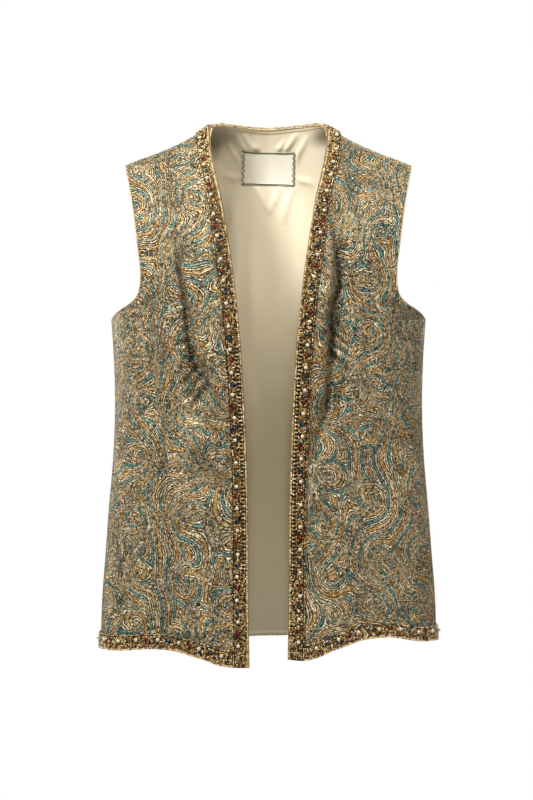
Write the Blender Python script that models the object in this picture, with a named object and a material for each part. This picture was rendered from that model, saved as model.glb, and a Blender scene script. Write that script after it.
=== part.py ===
"""An open-front waistcoat in brocade, filled out as if worn, with a satin back lining and beaded braid.

Lengths in the tables are millimetres and the scene is in metres. +X is the wearer's left, -Y the
front and +Z up. The origin lies midway between the two shoulder seams, level with the side neck
points. "drop" is a distance down from that level and "across" a distance from the centre line.
"""

import bpy
import numpy as np
from mathutils.bvhtree import BVHTree

MM = 0.001

# Cloth thicknesses and clearances
SHELL_THICK = 1.5
LINING_THICK = 1.0
LABEL_THICK = 0.7
SEAM_GAP = 0.3

# Beaded braid
BRAID_WIDTH = 20.0
BRAID_THICK = 2.2
BRAID_LIFT = 0.4
NECK_BRAID_LIFT = 1.0
PEARL_PITCH = 28.0
PEARL_RADIUS = 3.0
PEARL_HEIGHT = 4.2
PEARL_FROM_EDGE = 12.5

# Body of the garment
NECK_HALF_WIDTH = 76.0
UNDERARM_DROP = 256.0
HEM_DROP = 680.0
HEM_SHAPE_STARTS = 480.0
SQUARENESS = 2.3
RIDGE_ROUNDING = 20.0
SHOULDER_HALF_WIDTH = 184.0
# Below the shoulder line the cloth falls away to its full depth over these drops
FRONT_FALL = {"neck": 170.0, "armhole": 105.0, "power": 1.7}
BACK_FALL = {"neck": 140.0, "armhole": 95.0, "power": 1.6}

# Woven label inside the back neck
LABEL_WIDTH, LABEL_HEIGHT = 72.0, 43.0
LABEL_DROP = 47.0
LABEL_LIFT = 0.7

# Grid spacings
FRONT_COLUMNS = 16
BACK_COLUMNS = 24
RIDGE_ROWS = 6
RIDGE_ROW_STEP = 1.5
UNDERARM_CURVE = 41.0
FRONT_ROW_STEPS = {"chest": 20.0, "underarm": 7.0, "body": 21.0}
BACK_ROW_STEPS = {"chest": 30.0, "underarm": 9.0, "body": 34.0}


def table(columns, rows):
    """A table as a dictionary from each column's name to its array."""
    return dict(zip(columns.split(), np.array(rows, float).T))


BODY = table("drop half_width front_depth back_depth", [
    (0, 224, 98, 84),
    (60, 218, 100, 88),
    (130, 210, 106, 91),
    (190, 204.5, 111, 91),
    (256, 202, 114, 88),
    (305, 199, 112, 84),
    (365, 197.6, 106, 79),
    (430, 200, 102, 77),
    (495, 205.5, 101, 81),
    (560, 210, 102, 86),
    (615, 214, 104, 90),
    (680, 216, 106, 93),
])

FRONT_EDGE = table("drop across", [
    (0, 76), (25, 74.5), (50, 71), (75, 65.5), (100, 59.5), (130, 54), (165, 48.4), (200, 43.5),
    (250, 37.8), (300, 33.6), (350, 30.6), (400, 28.2), (450, 26.6), (510, 25.5), (600, 25), (680, 23.8),
])

ARMHOLE = table("drop across", [
    (54, 184.5), (74, 179.5), (107, 172.3), (139, 167), (170, 162.8), (200, 159.8), (215, 160.6),
    (230, 166.5), (237, 175), (244, 188), (250, 196.5), (256, 202),
])

# The shoulder line, and inside the neck's width the slope of the neck that it would climb
RIDGE = table("across height", [
    (0, 74), (25, 65), (45, 45), (60, 22), (70, 4), (76, -3), (88, -11), (104, -20.5), (119, -28),
    (135, -35), (150, -41), (166, -46.5), (184, -54), (205, -62),
])

BACK_NECK = table("across height", [(0, 3), (42, 4), (60, 3), (70, 0), (76, -3)])

# The right side of the hem hangs a little lower than the left
FRONT_HEM = table("across right left", [
    (20, -5.7, 5), (47, -5.3, 3.2), (62, -2.6, 7.5), (77, 3.2, 14.5), (93, 7.3, 19.5), (112, 12, 25.5),
    (130, 14, 27.8), (150, 14, 28.7), (180, 10, 22.5), (197, 8.2, 19.3), (205, 8, 18.7), (216, 6.5, 17),
])
BACK_HEM = table("across rise", [(-216, 6.5), (-100, 5.5), (0, 7), (100, 10), (216, 17)])

# Each fold: how far it stands out (minus for a trough), its half-width, and its path as
# (across, drop) points. Paths on the fronts count across from the centre line outwards.
FOLDS_RIGHT = [
    ("side front crease", -4.5, 6.0, [(152, 235), (146, 286), (142, 369), (131, 472), (119, 554), (99, 640)]),
    ("bust trough", -9.0, 9.0, [(118, 150), (107, 230), (100, 283), (90, 323), (78, 369), (60, 398), (44, 440)]),
    ("waist hollow", -5.0, 13.0, [(92, 335), (109, 392)]),
    ("slanting ridge", 6.0, 10.0, [(100, 385), (72, 425), (48, 456)]),
    ("slanting trough", -6.0, 9.0, [(82, 438), (62, 462), (44, 480)]),
    ("chest ridge", 5.0, 9.0, [(108, 165), (96, 235)]),
    ("lower hollow", -5.0, 14.0, [(58, 560), (56, 640)]),
    ("hem trough", -7.0, 13.0, [(124, 560), (126, 672)]),
    ("hem ridge", 5.0, 14.0, [(78, 600), (70, 680)]),
]
FOLDS_LEFT = [
    ("bust trough", -11.0, 9.0, [(88, 110), (91, 196), (85, 254), (80, 307), (79, 346), (67, 394), (54, 426)]),
    ("edge ridge", 5.0, 9.0, [(92, 60), (76, 184), (63, 266), (58, 348)]),
    ("shoulder trough", -4.0, 8.0, [(102, 48), (118, 112)]),
    ("lower trough", -5.0, 9.0, [(77, 466), (75, 554), (60, 578)]),
    ("side trough", -4.5, 11.0, [(135, 425), (126, 514)]),
    ("side front crease", -3.0, 8.0, [(124, 225), (122, 330)]),
    ("side hollow", -4.0, 18.0, [(168, 540), (164, 600)]),
    ("hem trough", -7.0, 13.0, [(128, 570), (128, 672)]),
    ("hem ridge", 5.0, 14.0, [(80, 610), (70, 680)]),
]
FOLDS_BACK = [
    ("right waist trough", -5.0, 16.0, [(-72, 300), (-66, 400), (-70, 560)]),
    ("left waist trough", -5.5, 15.0, [(64, 280), (70, 420), (66, 600)]),
    ("right side trough", -4.0, 13.0, [(-134, 400), (-128, 640)]),
    ("left side trough", -4.5, 14.0, [(128, 360), (136, 620)]),
    ("middle ridge", 3.5, 20.0, [(4, 330), (-3, 650)]),
    ("right blade trough", -3.0, 12.0, [(-120, 90), (-96, 190)]),
    ("left blade trough", -3.0, 12.0, [(122, 95), (100, 200)]),
]


def follow(rows, column, at, along="drop"):
    """The column's value at each place, on a smooth curve through the table's rows."""
    x, y = rows[along], rows[column]
    slope = np.gradient(y, x)
    at = np.clip(np.asarray(at, float), x[0], x[-1])
    i = np.clip(np.searchsorted(x, at, side="right") - 1, 0, len(x) - 2)
    width = x[i + 1] - x[i]
    t = (at - x[i]) / width
    start = (1 + 2 * t) * (1 - t) ** 2 * y[i] + t * (1 - t) ** 2 * width * slope[i]
    end = t * t * (3 - 2 * t) * y[i + 1] + t * t * (t - 1) * width * slope[i + 1]
    return start + end


def ridge_height(across):
    return follow(RIDGE, "height", np.abs(across), "across")


def top_edge(panel, across):
    """Height of a panel's top edge: the shoulder line, and on the back also the neck curve."""
    if panel == "back":
        neck = follow(BACK_NECK, "height", np.abs(across), "across")
        return np.where(np.abs(across) < NECK_HALF_WIDTH, neck, ridge_height(across))
    return ridge_height(np.maximum(np.abs(across), NECK_HALF_WIDTH))


def hem_rise(panel, across):
    """How far the hem lies above the hem drop."""
    if panel == "back":
        return follow(BACK_HEM, "rise", across, "across")
    return follow(FRONT_HEM, panel.removeprefix("front_"), np.abs(across), "across")


def level(panel, drop, across):
    """Height of a row: it starts along the top edge, runs level at the waist and ends along the hem."""
    from_top = np.clip(1 - drop / UNDERARM_DROP, 0, 1)
    from_hem = np.clip((drop - HEM_SHAPE_STARTS) / (HEM_DROP - HEM_SHAPE_STARTS), 0, 1)
    return -drop + from_top * top_edge(panel, across) + from_hem * hem_rise(panel, across)


def smooth_step(share):
    share = np.clip(share, 0, 1)
    return share * share * (3 - 2 * share)


def fullness(across, below_ridge, depth, fall):
    """Distance out from the shoulder line's plane: rounded over the ridge, then full at the chest."""
    to_armhole = smooth_step((np.abs(across) - NECK_HALF_WIDTH) / (SHOULDER_HALF_WIDTH - NECK_HALF_WIDTH))
    reach = fall["neck"] + (fall["armhole"] - fall["neck"]) * to_armhole
    share = np.clip(below_ridge / reach, 0, 1)
    out = depth * (1 - (1 - share) ** fall["power"])
    rounding = 2 * RIDGE_ROUNDING
    return depth * np.sqrt((out**2 + rounding * out) / (depth**2 + rounding * depth))


def base_point(panel, drop, angle):
    """A point of the smooth form. The angle is 0 at the centre line and a quarter turn at the side."""
    half = follow(BODY, "half_width", drop)
    across = np.sign(angle) * half * np.sin(np.abs(angle)) ** (2 / SQUARENESS)
    height = level(panel, drop, across)
    below = ridge_height(across) - height
    if panel == "back":
        out = fullness(across, below, follow(BODY, "back_depth", drop), BACK_FALL)
        facing = 1
    else:
        out = fullness(across, below, follow(BODY, "front_depth", drop), FRONT_FALL)
        facing = -1
    out = out * np.clip(np.cos(angle), 0, 1) ** (2 / SQUARENESS) + SEAM_GAP / 2
    return np.stack([across, facing * out, height], -1)


def normals_of(points_at, panel, drop, angle):
    """Outward normals from small steps either way along the drop and the angle."""
    low, high = np.maximum(drop - 0.5, 0), np.minimum(drop + 0.5, HEM_DROP)
    down = points_at(panel, high, angle) - points_at(panel, low, angle)
    quarter = np.pi / 2
    left, right = np.clip(angle - 1e-3, -quarter, quarter), np.clip(angle + 1e-3, -quarter, quarter)
    along = points_at(panel, drop, right) - points_at(panel, drop, left)
    normal = np.cross(down, along)
    normal /= np.linalg.norm(normal, axis=-1, keepdims=True)
    outward = 1 if panel == "back" else -1
    return normal * np.where(normal[..., 1] * outward < 0, -1, 1)[..., None]


def fold_height(folds, across, drop):
    """Sum of the folds, each a soft bump across its path that dies away at both ends."""
    total = np.zeros(np.broadcast(across, drop).shape)
    for _, height, half_width, path in folds:
        path = np.array(path, float)
        lengths = np.linalg.norm(np.diff(path, axis=0), axis=1)
        starts = np.concatenate([[0], np.cumsum(lengths)])
        nearest = np.full(total.shape, np.inf)
        place = np.zeros(total.shape)
        for (x0, d0), (x1, d1), length, start in zip(path[:-1], path[1:], lengths, starts):
            t = ((across - x0) * (x1 - x0) + (drop - d0) * (d1 - d0)) / length**2
            t = np.clip(t, 0, 1)
            away = (across - x0 - t * (x1 - x0)) ** 2 + (drop - d0 - t * (d1 - d0)) ** 2
            closer = away < nearest
            nearest = np.where(closer, away, nearest)
            place = np.where(closer, (start + t * length) / starts[-1], place)
        swell = 0.45 + 0.55 * np.sin(np.pi * place)
        total += height * swell * np.exp(-nearest / (2 * half_width**2))
    return total


def folds_of(panel, points, drop):
    """The panel's folds, which die away towards the seams and under the stiff front braid."""
    across = points[..., 0]
    if panel == "back":
        height = fold_height(FOLDS_BACK, across, drop)
    else:
        folds = FOLDS_RIGHT if panel == "front_right" else FOLDS_LEFT
        height = fold_height(folds, np.abs(across), drop)
        from_edge = np.abs(across) - follow(FRONT_EDGE, "across", drop)
        height = height * smooth_step((from_edge - 2) / 34)
    return height * smooth_step(np.abs(points[..., 1]) / 40) * smooth_step(drop / 60)


def cloth_point(panel, drop, angle):
    """A point of the outer face, folds and all."""
    points = base_point(panel, drop, angle)
    normal = normals_of(base_point, panel, drop, angle)
    return points + normal * folds_of(panel, points, drop)[..., None]


def cloth_normal(panel, drop, angle):
    """Outward normals of the cloth, kept in the seams' plane along the shoulder and side seams."""
    normal = normals_of(cloth_point, panel, drop, angle)
    at_seam = (drop <= 0) & (np.abs(cloth_point(panel, drop, angle)[..., 1]) < SEAM_GAP)
    at_seam |= np.cos(angle) < 1e-6
    normal[..., 1] = np.where(at_seam, 0, normal[..., 1])
    return normal / np.linalg.norm(normal, axis=-1, keepdims=True)


def angle_at(drop, across):
    """The angle at which a row reaches this far from the centre line."""
    share = np.clip(np.abs(across) / follow(BODY, "half_width", drop), 0, 1)
    return np.sign(across) * np.arcsin(share ** (SQUARENESS / 2))


def outer_reach(panel, drop):
    """Where a row ends: on the armhole edge above the underarm, at the side seam below it."""
    reach = np.full(np.shape(drop), ARMHOLE["across"][0])
    for _ in range(30):
        height = level(panel, drop, reach)
        reach = 0.5 * reach + 0.5 * follow(ARMHOLE, "across", -height)
    return np.where(drop >= UNDERARM_DROP, follow(BODY, "half_width", drop), reach)


def row_drops(steps):
    """Drops of the rows: close over the shoulder ridge and the underarm curve, wider on the body."""
    ridge = RIDGE_ROW_STEP * np.arange(RIDGE_ROWS + 1) ** 2
    curve_starts = UNDERARM_DROP - UNDERARM_CURVE
    chest = np.linspace(ridge[-1], curve_starts, round((curve_starts - ridge[-1]) / steps["chest"]) + 1)
    underarm = np.linspace(curve_starts, UNDERARM_DROP, round(UNDERARM_CURVE / steps["underarm"]) + 1)
    braid_top = HEM_DROP - BRAID_WIDTH
    body = np.linspace(UNDERARM_DROP, braid_top, round((braid_top - UNDERARM_DROP) / steps["body"]) + 1)
    return np.concatenate([ridge, chest[1:], underarm[1:], body[1:], [HEM_DROP]])


def spread(panel, drop, first, last, shares):
    """Angles on one row at these shares of its length from the first angle to the last.

    shares takes the row's length and gives distances along it, so a braid's width can be exact."""
    fine = np.linspace(first, last, 241)
    points = cloth_point(panel, np.full(fine.shape, drop), fine)
    travelled = np.concatenate([[0], np.cumsum(np.linalg.norm(np.diff(points, axis=0), axis=1))])
    return np.interp(shares(travelled[-1]), travelled, fine)


def panel_grid(panel, drops, columns):
    """Drops and angles of a panel's grid. A front's first column is as wide as the braid."""
    def front_shares(length):
        return np.concatenate([[0], np.linspace(BRAID_WIDTH, length, columns)])

    def back_shares(length):
        return np.linspace(0, length, columns + 1)

    angles = []
    for drop in drops:
        outer = angle_at(drop, outer_reach(panel, np.array(drop)))
        if panel == "back":
            angles.append(spread(panel, drop, -outer, outer, back_shares))
            continue
        inner = angle_at(drop, follow(FRONT_EDGE, "across", drop))
        side = -1 if panel == "front_right" else 1
        angles.append(spread(panel, drop, side * inner, side * outer, front_shares))
    angles = np.array(angles)
    return np.repeat(drops[:, None], angles.shape[1], 1), angles


def add_object(name, vertices, faces, material):
    """A mesh object of this name, with its faces turned outwards."""
    mesh = bpy.data.meshes.new(name)
    mesh.from_pydata((np.asarray(vertices) * MM).tolist(), [], faces)
    mesh.materials.append(material)
    obj = bpy.data.objects.new(name, mesh)
    bpy.data.collections["Waistcoat"].objects.link(obj)
    mesh.validate()
    corners = np.array([v.co for v in mesh.vertices])
    mesh.calc_loop_triangles()
    triangles = corners[np.array([t.vertices for t in mesh.loop_triangles])]
    if np.linalg.det(triangles).sum() < 0:
        mesh.flip_normals()
    mesh.shade_smooth()
    mesh.set_sharp_from_angle(angle=np.radians(50))
    return obj


def lower_diagonals(points, normal):
    """Whether each cell's diagonal from its first corner is the one that lies further in."""
    first = points[:-1, :-1] + points[1:, 1:]
    second = points[:-1, 1:] + points[1:, :-1]
    return ((first - second) * normal[:-1, :-1]).sum(-1) < 0


def ring_loft(name, outer, inner, material, first_diagonal=None):
    """A closed solid through one ring a row. A ring runs along the outer face and back along the inner.

    Both faces of a wall are split along the same diagonals, so that layers stay apart."""
    rows, across = outer.shape[:2]
    if first_diagonal is None:
        first_diagonal = np.ones((rows - 1, across - 1), bool)
    rings = np.concatenate([outer, inner[:, ::-1]], axis=1)
    around = rings.shape[1]
    faces = []
    for i in range(rows - 1):
        for j in range(around):
            k = (j + 1) % around
            a, b, c, d = i * around + j, i * around + k, (i + 1) * around + k, (i + 1) * around + j
            if j < across - 1:
                through_a = first_diagonal[i, j]
            elif around == 2 * across and across <= j < around - 1:
                through_a = not first_diagonal[i, around - 2 - j]
            else:
                through_a = True
            faces += [(a, b, c), (a, c, d)] if through_a else [(a, b, d), (b, c, d)]
    for i in (0, rows - 1):
        ring = [i * around + j for j in range(around)]
        if around == 2 * across:
            cap = [(ring[j], ring[-1 - j], ring[-2 - j], ring[j + 1]) for j in range(across - 1)]
        else:
            cap = [tuple(ring[::-1])]
        faces += [face if i == 0 else face[::-1] for face in cap]
    return add_object(name, rings.reshape(-1, 3), faces, material)


def cloth_wall(name, grid, panel, outside, thick, material):
    """A wall of cloth whose outer face lies this far outside the panel's surface."""
    drop, angle = grid
    points, normal = cloth_point(panel, drop, angle), cloth_normal(panel, drop, angle)
    outer, inner = points + normal * outside, points + normal * (outside - thick)
    return ring_loft(name, outer, inner, material, lower_diagonals(points, normal))


def braid_wall(name, edge, inward, edge_normal, inward_normal, lift, material):
    """Braid along a strip between two lines of points, with a pearl standing on it at each pitch."""
    travelled = np.concatenate([[0], np.cumsum(np.linalg.norm(np.diff(edge, axis=0), axis=1))])
    length = travelled[-1]
    count = max(1, int(length // PEARL_PITCH))
    centres = (length - (count - 1) * PEARL_PITCH) / 2 + PEARL_PITCH * np.arange(count)
    around = np.concatenate([centres - PEARL_RADIUS, centres, centres + PEARL_RADIUS])
    clear = [s for s in travelled if np.abs(around - s).min() > 0.4 or s in (0, length)]
    places = np.sort(np.concatenate([clear, around]))

    def at(line):
        return np.stack([np.interp(places, travelled, line[:, k]) for k in range(3)], -1)

    a, b, na, nb = at(edge), at(inward), at(edge_normal), at(inward_normal)
    middle = PEARL_FROM_EDGE / BRAID_WIDTH
    beside = PEARL_RADIUS / BRAID_WIDTH
    shares = np.array([0, middle - beside, middle, middle + beside, 1])[None, :, None]
    face = a[:, None] + (b - a)[:, None] * shares
    normal = na[:, None] + (nb - na)[:, None] * shares
    raised = np.full(face.shape[:2], lift + BRAID_THICK)
    pearl_rows = np.abs(places[:, None] - centres).min(1) < 1e-6
    raised[pearl_rows, 2] += PEARL_HEIGHT
    outer = face + normal * raised[..., None]
    under = np.stack([a + na * lift, b + nb * lift], axis=1)
    ring_loft(name, outer, under, material)


def front_braids(side, grid, material):
    """The braid down a front's edge, and the braid along its hem from there to the side seam."""
    panel = "front_" + side
    points, normal = cloth_point(panel, *grid), cloth_normal(panel, *grid)
    braid_wall("trim_front_" + side, points[:, 0], points[:, 1], normal[:, 0], normal[:, 1], BRAID_LIFT, material)
    hem, above = points[-1, 1:].copy(), points[-2, 1:].copy()
    clearance = (hem[1] - hem[0]) / np.linalg.norm(hem[1] - hem[0]) * SEAM_GAP
    hem[0] += clearance
    above[0] += clearance
    braid_wall("trim_hem_" + side, hem, above, normal[-1, 1:], normal[-2, 1:], BRAID_LIFT, material)


def onto(wall, points, normal, side):
    """The places where lines along the normals meet a wall's facets, from outside (1) or inside (-1)."""
    mesh = wall.data
    corners = [tuple(v.co / MM) for v in mesh.vertices]
    tree = BVHTree.FromPolygons(corners, [tuple(p.vertices) for p in mesh.polygons])
    flat_points, flat_normal = points.reshape(-1, 3), normal.reshape(-1, 3)
    met = []
    for point, way in zip(flat_points, flat_normal * side):
        place = tree.ray_cast(tuple(point + 6 * way), tuple(-way))[0]
        met.append(point if place is None else place)
    return np.array(met).reshape(points.shape)


def surface_at(across, height):
    """Drop and angle of the back at this place near the top."""
    top = top_edge("back", across)
    drop = (top - height) / (1 + top / UNDERARM_DROP)
    return drop, angle_at(drop, across)


def neck_braid(back, material):
    """The braid round the back neck, which meets the front braids along the shoulder seams."""
    turn = np.linspace(-1, 1, 25)
    across = NECK_HALF_WIDTH * np.sign(turn) * (1 - (1 - np.abs(turn)) ** 1.35)
    swing = np.abs(across / NECK_HALF_WIDTH) ** 2.5
    ridge_slope = (ridge_height(NECK_HALF_WIDTH + 16) - ridge_height(NECK_HALF_WIDTH)) / 16
    edge_height = top_edge("back", np.clip(across, 0.001 - NECK_HALF_WIDTH, NECK_HALF_WIDTH - 0.001))
    step = np.stack([np.sign(across) * swing, -(1 - swing) + ridge_slope * swing], -1)
    step /= np.linalg.norm(step, axis=1, keepdims=True)
    edge = cloth_point("back", *surface_at(across, edge_height))
    reach = BRAID_WIDTH
    for _ in range(4):
        place = surface_at(across + reach * step[:, 0], edge_height + reach * step[:, 1])
        inward = cloth_point("back", *place)
        reach = reach * BRAID_WIDTH / np.linalg.norm(inward - edge, axis=1)
    edge_normal = cloth_normal("back", *surface_at(across, edge_height))
    inward_normal = cloth_normal("back", *place)
    inward[1:-1] = onto(back, inward[1:-1], inward_normal[1:-1], 1)
    braid_wall("trim_neck", edge, inward, edge_normal, inward_normal, NECK_BRAID_LIFT, material)


def back_hem_braid(grid, material):
    points, normal = cloth_point("back", *grid), cloth_normal("back", *grid)
    braid_wall("trim_hem_back", points[-1], points[-2], normal[-1], normal[-2], BRAID_LIFT, material)


def label(lining, material):
    """The woven label on the lining, below the back neck."""
    across, height = np.meshgrid(
        np.linspace(-LABEL_WIDTH / 2, LABEL_WIDTH / 2, 9),
        np.linspace(LABEL_HEIGHT / 2, -LABEL_HEIGHT / 2, 6) - LABEL_DROP,
    )
    place = surface_at(across, height)
    points, normal = cloth_point("back", *place), cloth_normal("back", *place)
    points = onto(lining, points - normal * (SHELL_THICK + LINING_THICK), normal, -1)
    ring_loft("label", points - normal * LABEL_LIFT, points - normal * (LABEL_LIFT + LABEL_THICK), material)


def cloth_material(name, colour, roughness, metallic=0.0):
    material = bpy.data.materials.new(name)
    material.use_nodes = True
    shader = material.node_tree.nodes["Principled BSDF"]
    shader.inputs["Base Color"].default_value = (*colour, 1)
    shader.inputs["Roughness"].default_value = roughness
    shader.inputs["Metallic"].default_value = metallic
    return material


def clear_scene():
    for obj in list(bpy.data.objects):
        bpy.data.objects.remove(obj)
    collection = bpy.data.collections.new("Waistcoat")
    bpy.context.scene.collection.children.link(collection)


def main():
    clear_scene()
    brocade = cloth_material("gold and teal brocade", (0.33, 0.27, 0.17), 0.5, 0.3)
    satin = cloth_material("cream satin", (0.72, 0.62, 0.45), 0.35)
    braid = cloth_material("beaded gilt braid", (0.22, 0.14, 0.06), 0.45, 0.5)
    woven = cloth_material("woven label", (0.85, 0.80, 0.68), 0.8)

    front_drops, back_drops = row_drops(FRONT_ROW_STEPS), row_drops(BACK_ROW_STEPS)
    for side in ("right", "left"):
        grid = panel_grid("front_" + side, front_drops, FRONT_COLUMNS)
        cloth_wall("front_" + side, grid, "front_" + side, 0, SHELL_THICK, brocade)
        front_braids(side, grid, braid)
    back_grid = panel_grid("back", back_drops, BACK_COLUMNS)
    back = cloth_wall("back", back_grid, "back", 0, SHELL_THICK, brocade)
    lining = cloth_wall("back_lining", back_grid, "back", -SHELL_THICK - SEAM_GAP, LINING_THICK, satin)
    back_hem_braid(back_grid, braid)
    neck_braid(back, braid)
    label(lining, woven)


main()
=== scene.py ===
import bmesh
import bpy
import numpy as np
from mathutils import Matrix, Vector


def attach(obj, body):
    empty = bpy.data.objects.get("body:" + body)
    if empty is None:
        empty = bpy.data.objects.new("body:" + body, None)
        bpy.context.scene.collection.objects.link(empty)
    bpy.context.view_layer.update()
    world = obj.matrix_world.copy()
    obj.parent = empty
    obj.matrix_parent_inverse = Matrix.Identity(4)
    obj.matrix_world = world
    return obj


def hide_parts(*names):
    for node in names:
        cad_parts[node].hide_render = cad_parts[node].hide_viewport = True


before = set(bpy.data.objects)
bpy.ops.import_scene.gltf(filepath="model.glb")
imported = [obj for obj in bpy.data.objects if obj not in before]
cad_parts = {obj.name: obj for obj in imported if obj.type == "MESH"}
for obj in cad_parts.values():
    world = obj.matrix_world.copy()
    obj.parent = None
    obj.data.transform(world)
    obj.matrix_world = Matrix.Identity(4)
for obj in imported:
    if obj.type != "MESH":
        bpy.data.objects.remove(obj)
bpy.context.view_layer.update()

# An open waistcoat in swirled metallic brocade, lined in cream satin and edged with beaded braid.
# Tables and sizes are in millimetres: +X is the wearer's left, -Y the front, +Z up, and the origin
# lies between the shoulder seams, level with the side neck points.
mm = 0.001
quarterTurn, fullTurn = np.pi / 2, 2 * np.pi
print("frame loaded with", len(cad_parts), "plain pieces")


def hexColour(code):
    # sRGB hex to the linear colour that a shader takes
    part = np.array([int(code[i:i + 2], 16) for i in (1, 3, 5)]) / 255
    linear = np.where(part <= 0.04045, part / 12.92, ((part + 0.055) / 1.055) ** 2.4)
    return (*linear.tolist(), 1.0)


def addNode(tree, kind, sockets=None, stops=(), **settings):
    # adds a node with its settings; a socket takes a value or another node's output
    node = tree.nodes.new("ShaderNode" + kind)
    for name, value in settings.items():
        setattr(node, name, value)
    for name, value in (sockets or {}).items():
        if isinstance(value, bpy.types.NodeSocket):
            tree.links.new(value, node.inputs[name])
        else:
            node.inputs[name].default_value = value
    if stops:
        ramp = node.color_ramp
        ends = (stops[0], stops[-1])
        for element, (place, colour) in zip(ramp.elements, ends):
            element.position, element.color = place, colour
        for place, colour in stops[1:-1]:
            ramp.elements.new(place).color = colour
    return node


def newMaterial(name, **values):
    # a Principled material; the values go on the shader's own sockets
    material = bpy.data.materials.new(name)
    material.use_nodes = True
    tree = material.node_tree
    shader = tree.nodes["Principled BSDF"]
    for key, value in values.items():
        shader.inputs[key.replace("_", " ")].default_value = value
    return material, tree, shader


def table(columns, rows):
    # a dictionary from each column's name to its array
    return dict(zip(columns.split(), np.array(rows, float).T))


cut = {
    "neckHalf": 76.0,
    "shoulderHalf": 184.0,
    "underarm": 256.0,
    "hem": 680.0,
    "hemShapeStarts": 480.0,
    "squareness": 2.3,
    "ridgeRounding": 20.0,
    "seamGap": 0.3,
    "clothThick": 1.5,
    "frontFall": {"neck": 170.0, "armhole": 105.0, "power": 1.7},
    "backFall": {"neck": 140.0, "armhole": 95.0, "power": 1.6},
    "body": table("drop half front back", [
        (0, 224, 98, 84), (60, 218, 100, 88), (130, 210, 106, 91), (190, 204.5, 111, 91),
        (256, 202, 114, 88), (305, 199, 112, 84), (365, 197.6, 106, 79), (430, 200, 102, 77),
        (495, 205.5, 101, 81), (560, 210, 102, 86), (615, 214, 104, 90), (680, 216, 106, 93),
    ]),
    "frontEdge": table("drop across", [
        (0, 76), (25, 74.5), (50, 71), (75, 65.5), (100, 59.5), (130, 54), (165, 48.4), (200, 43.5),
        (250, 37.8), (300, 33.6), (350, 30.6), (400, 28.2), (450, 26.6), (510, 25.5), (600, 25),
        (680, 23.8),
    ]),
    "armhole": table("drop across", [
        (54, 184.5), (74, 179.5), (107, 172.3), (139, 167), (170, 162.8), (200, 159.8), (215, 160.6),
        (230, 166.5), (237, 175), (244, 188), (250, 196.5), (256, 202),
    ]),
    "ridge": table("across height", [
        (0, 74), (25, 65), (45, 45), (60, 22), (70, 4), (76, -3), (88, -11), (104, -20.5), (119, -28),
        (135, -35), (150, -41), (166, -46.5), (184, -54), (205, -62),
    ]),
    "backNeck": table("across height", [(0, 3), (42, 4), (60, 3), (70, 0), (76, -3)]),
    "frontHem": table("across right left", [
        (20, -5.7, 5), (47, -5.3, 3.2), (62, -2.6, 7.5), (77, 3.2, 14.5), (93, 7.3, 19.5),
        (112, 12, 25.5), (130, 14, 27.8), (150, 14, 28.7), (180, 10, 22.5), (197, 8.2, 19.3),
        (205, 8, 18.7), (216, 6.5, 17),
    ]),
    "backHem": table("across rise", [(-216, 6.5), (-100, 5.5), (0, 7), (100, 10), (216, 17)]),
    # rows of the cloth's grid over the shoulder, and how far above the underarm its close rows lie
    "shoulderRows": [0, 0.6, 1.6, 3, 5, 7.5, 10.5],
    "underarmRows": [1.8, 1.2, 0.75, 0.42, 0.2, 0.07, 0.0],
}

# A fold is (how far it stands out, half-width, its path as (across, drop) points); minus is a trough
folds = {
    "right": [
        (-4.5, 6.0, [(152, 235), (146, 286), (142, 369), (131, 472), (119, 554), (99, 640)]),
        (-9.0, 9.0, [(118, 150), (107, 230), (100, 283), (90, 323), (78, 369), (60, 398), (44, 440)]),
        (-5.0, 13.0, [(92, 335), (109, 392)]),
        (6.0, 10.0, [(100, 385), (72, 425), (48, 456)]),
        (-6.0, 9.0, [(82, 438), (62, 462), (44, 480)]),
        (5.0, 9.0, [(108, 165), (96, 235)]),
        (-5.0, 14.0, [(58, 560), (56, 640)]),
        (-7.0, 13.0, [(124, 560), (126, 672)]),
        (5.0, 14.0, [(78, 600), (70, 680)]),
    ],
    "left": [
        (-11.0, 9.0, [(88, 110), (91, 196), (85, 254), (80, 307), (79, 346), (67, 394), (54, 426)]),
        (5.0, 9.0, [(92, 60), (76, 184), (63, 266), (58, 348)]),
        (-4.0, 8.0, [(102, 48), (118, 112)]),
        (-5.0, 9.0, [(77, 466), (75, 554), (60, 578)]),
        (-4.5, 11.0, [(135, 425), (126, 514)]),
        (-3.0, 8.0, [(124, 225), (122, 330)]),
        (-4.0, 18.0, [(168, 540), (164, 600)]),
        (-7.0, 13.0, [(128, 570), (128, 672)]),
        (5.0, 14.0, [(80, 610), (70, 680)]),
    ],
    "back": [
        (-5.0, 16.0, [(-72, 300), (-66, 400), (-70, 560)]),
        (-5.5, 15.0, [(64, 280), (70, 420), (66, 600)]),
        (-4.0, 13.0, [(-134, 400), (-128, 640)]),
        (-4.5, 14.0, [(128, 360), (136, 620)]),
        (3.5, 20.0, [(4, 330), (-3, 650)]),
        (-3.0, 12.0, [(-120, 90), (-96, 190)]),
        (-3.0, 12.0, [(122, 95), (100, 200)]),
    ],
}

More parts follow.
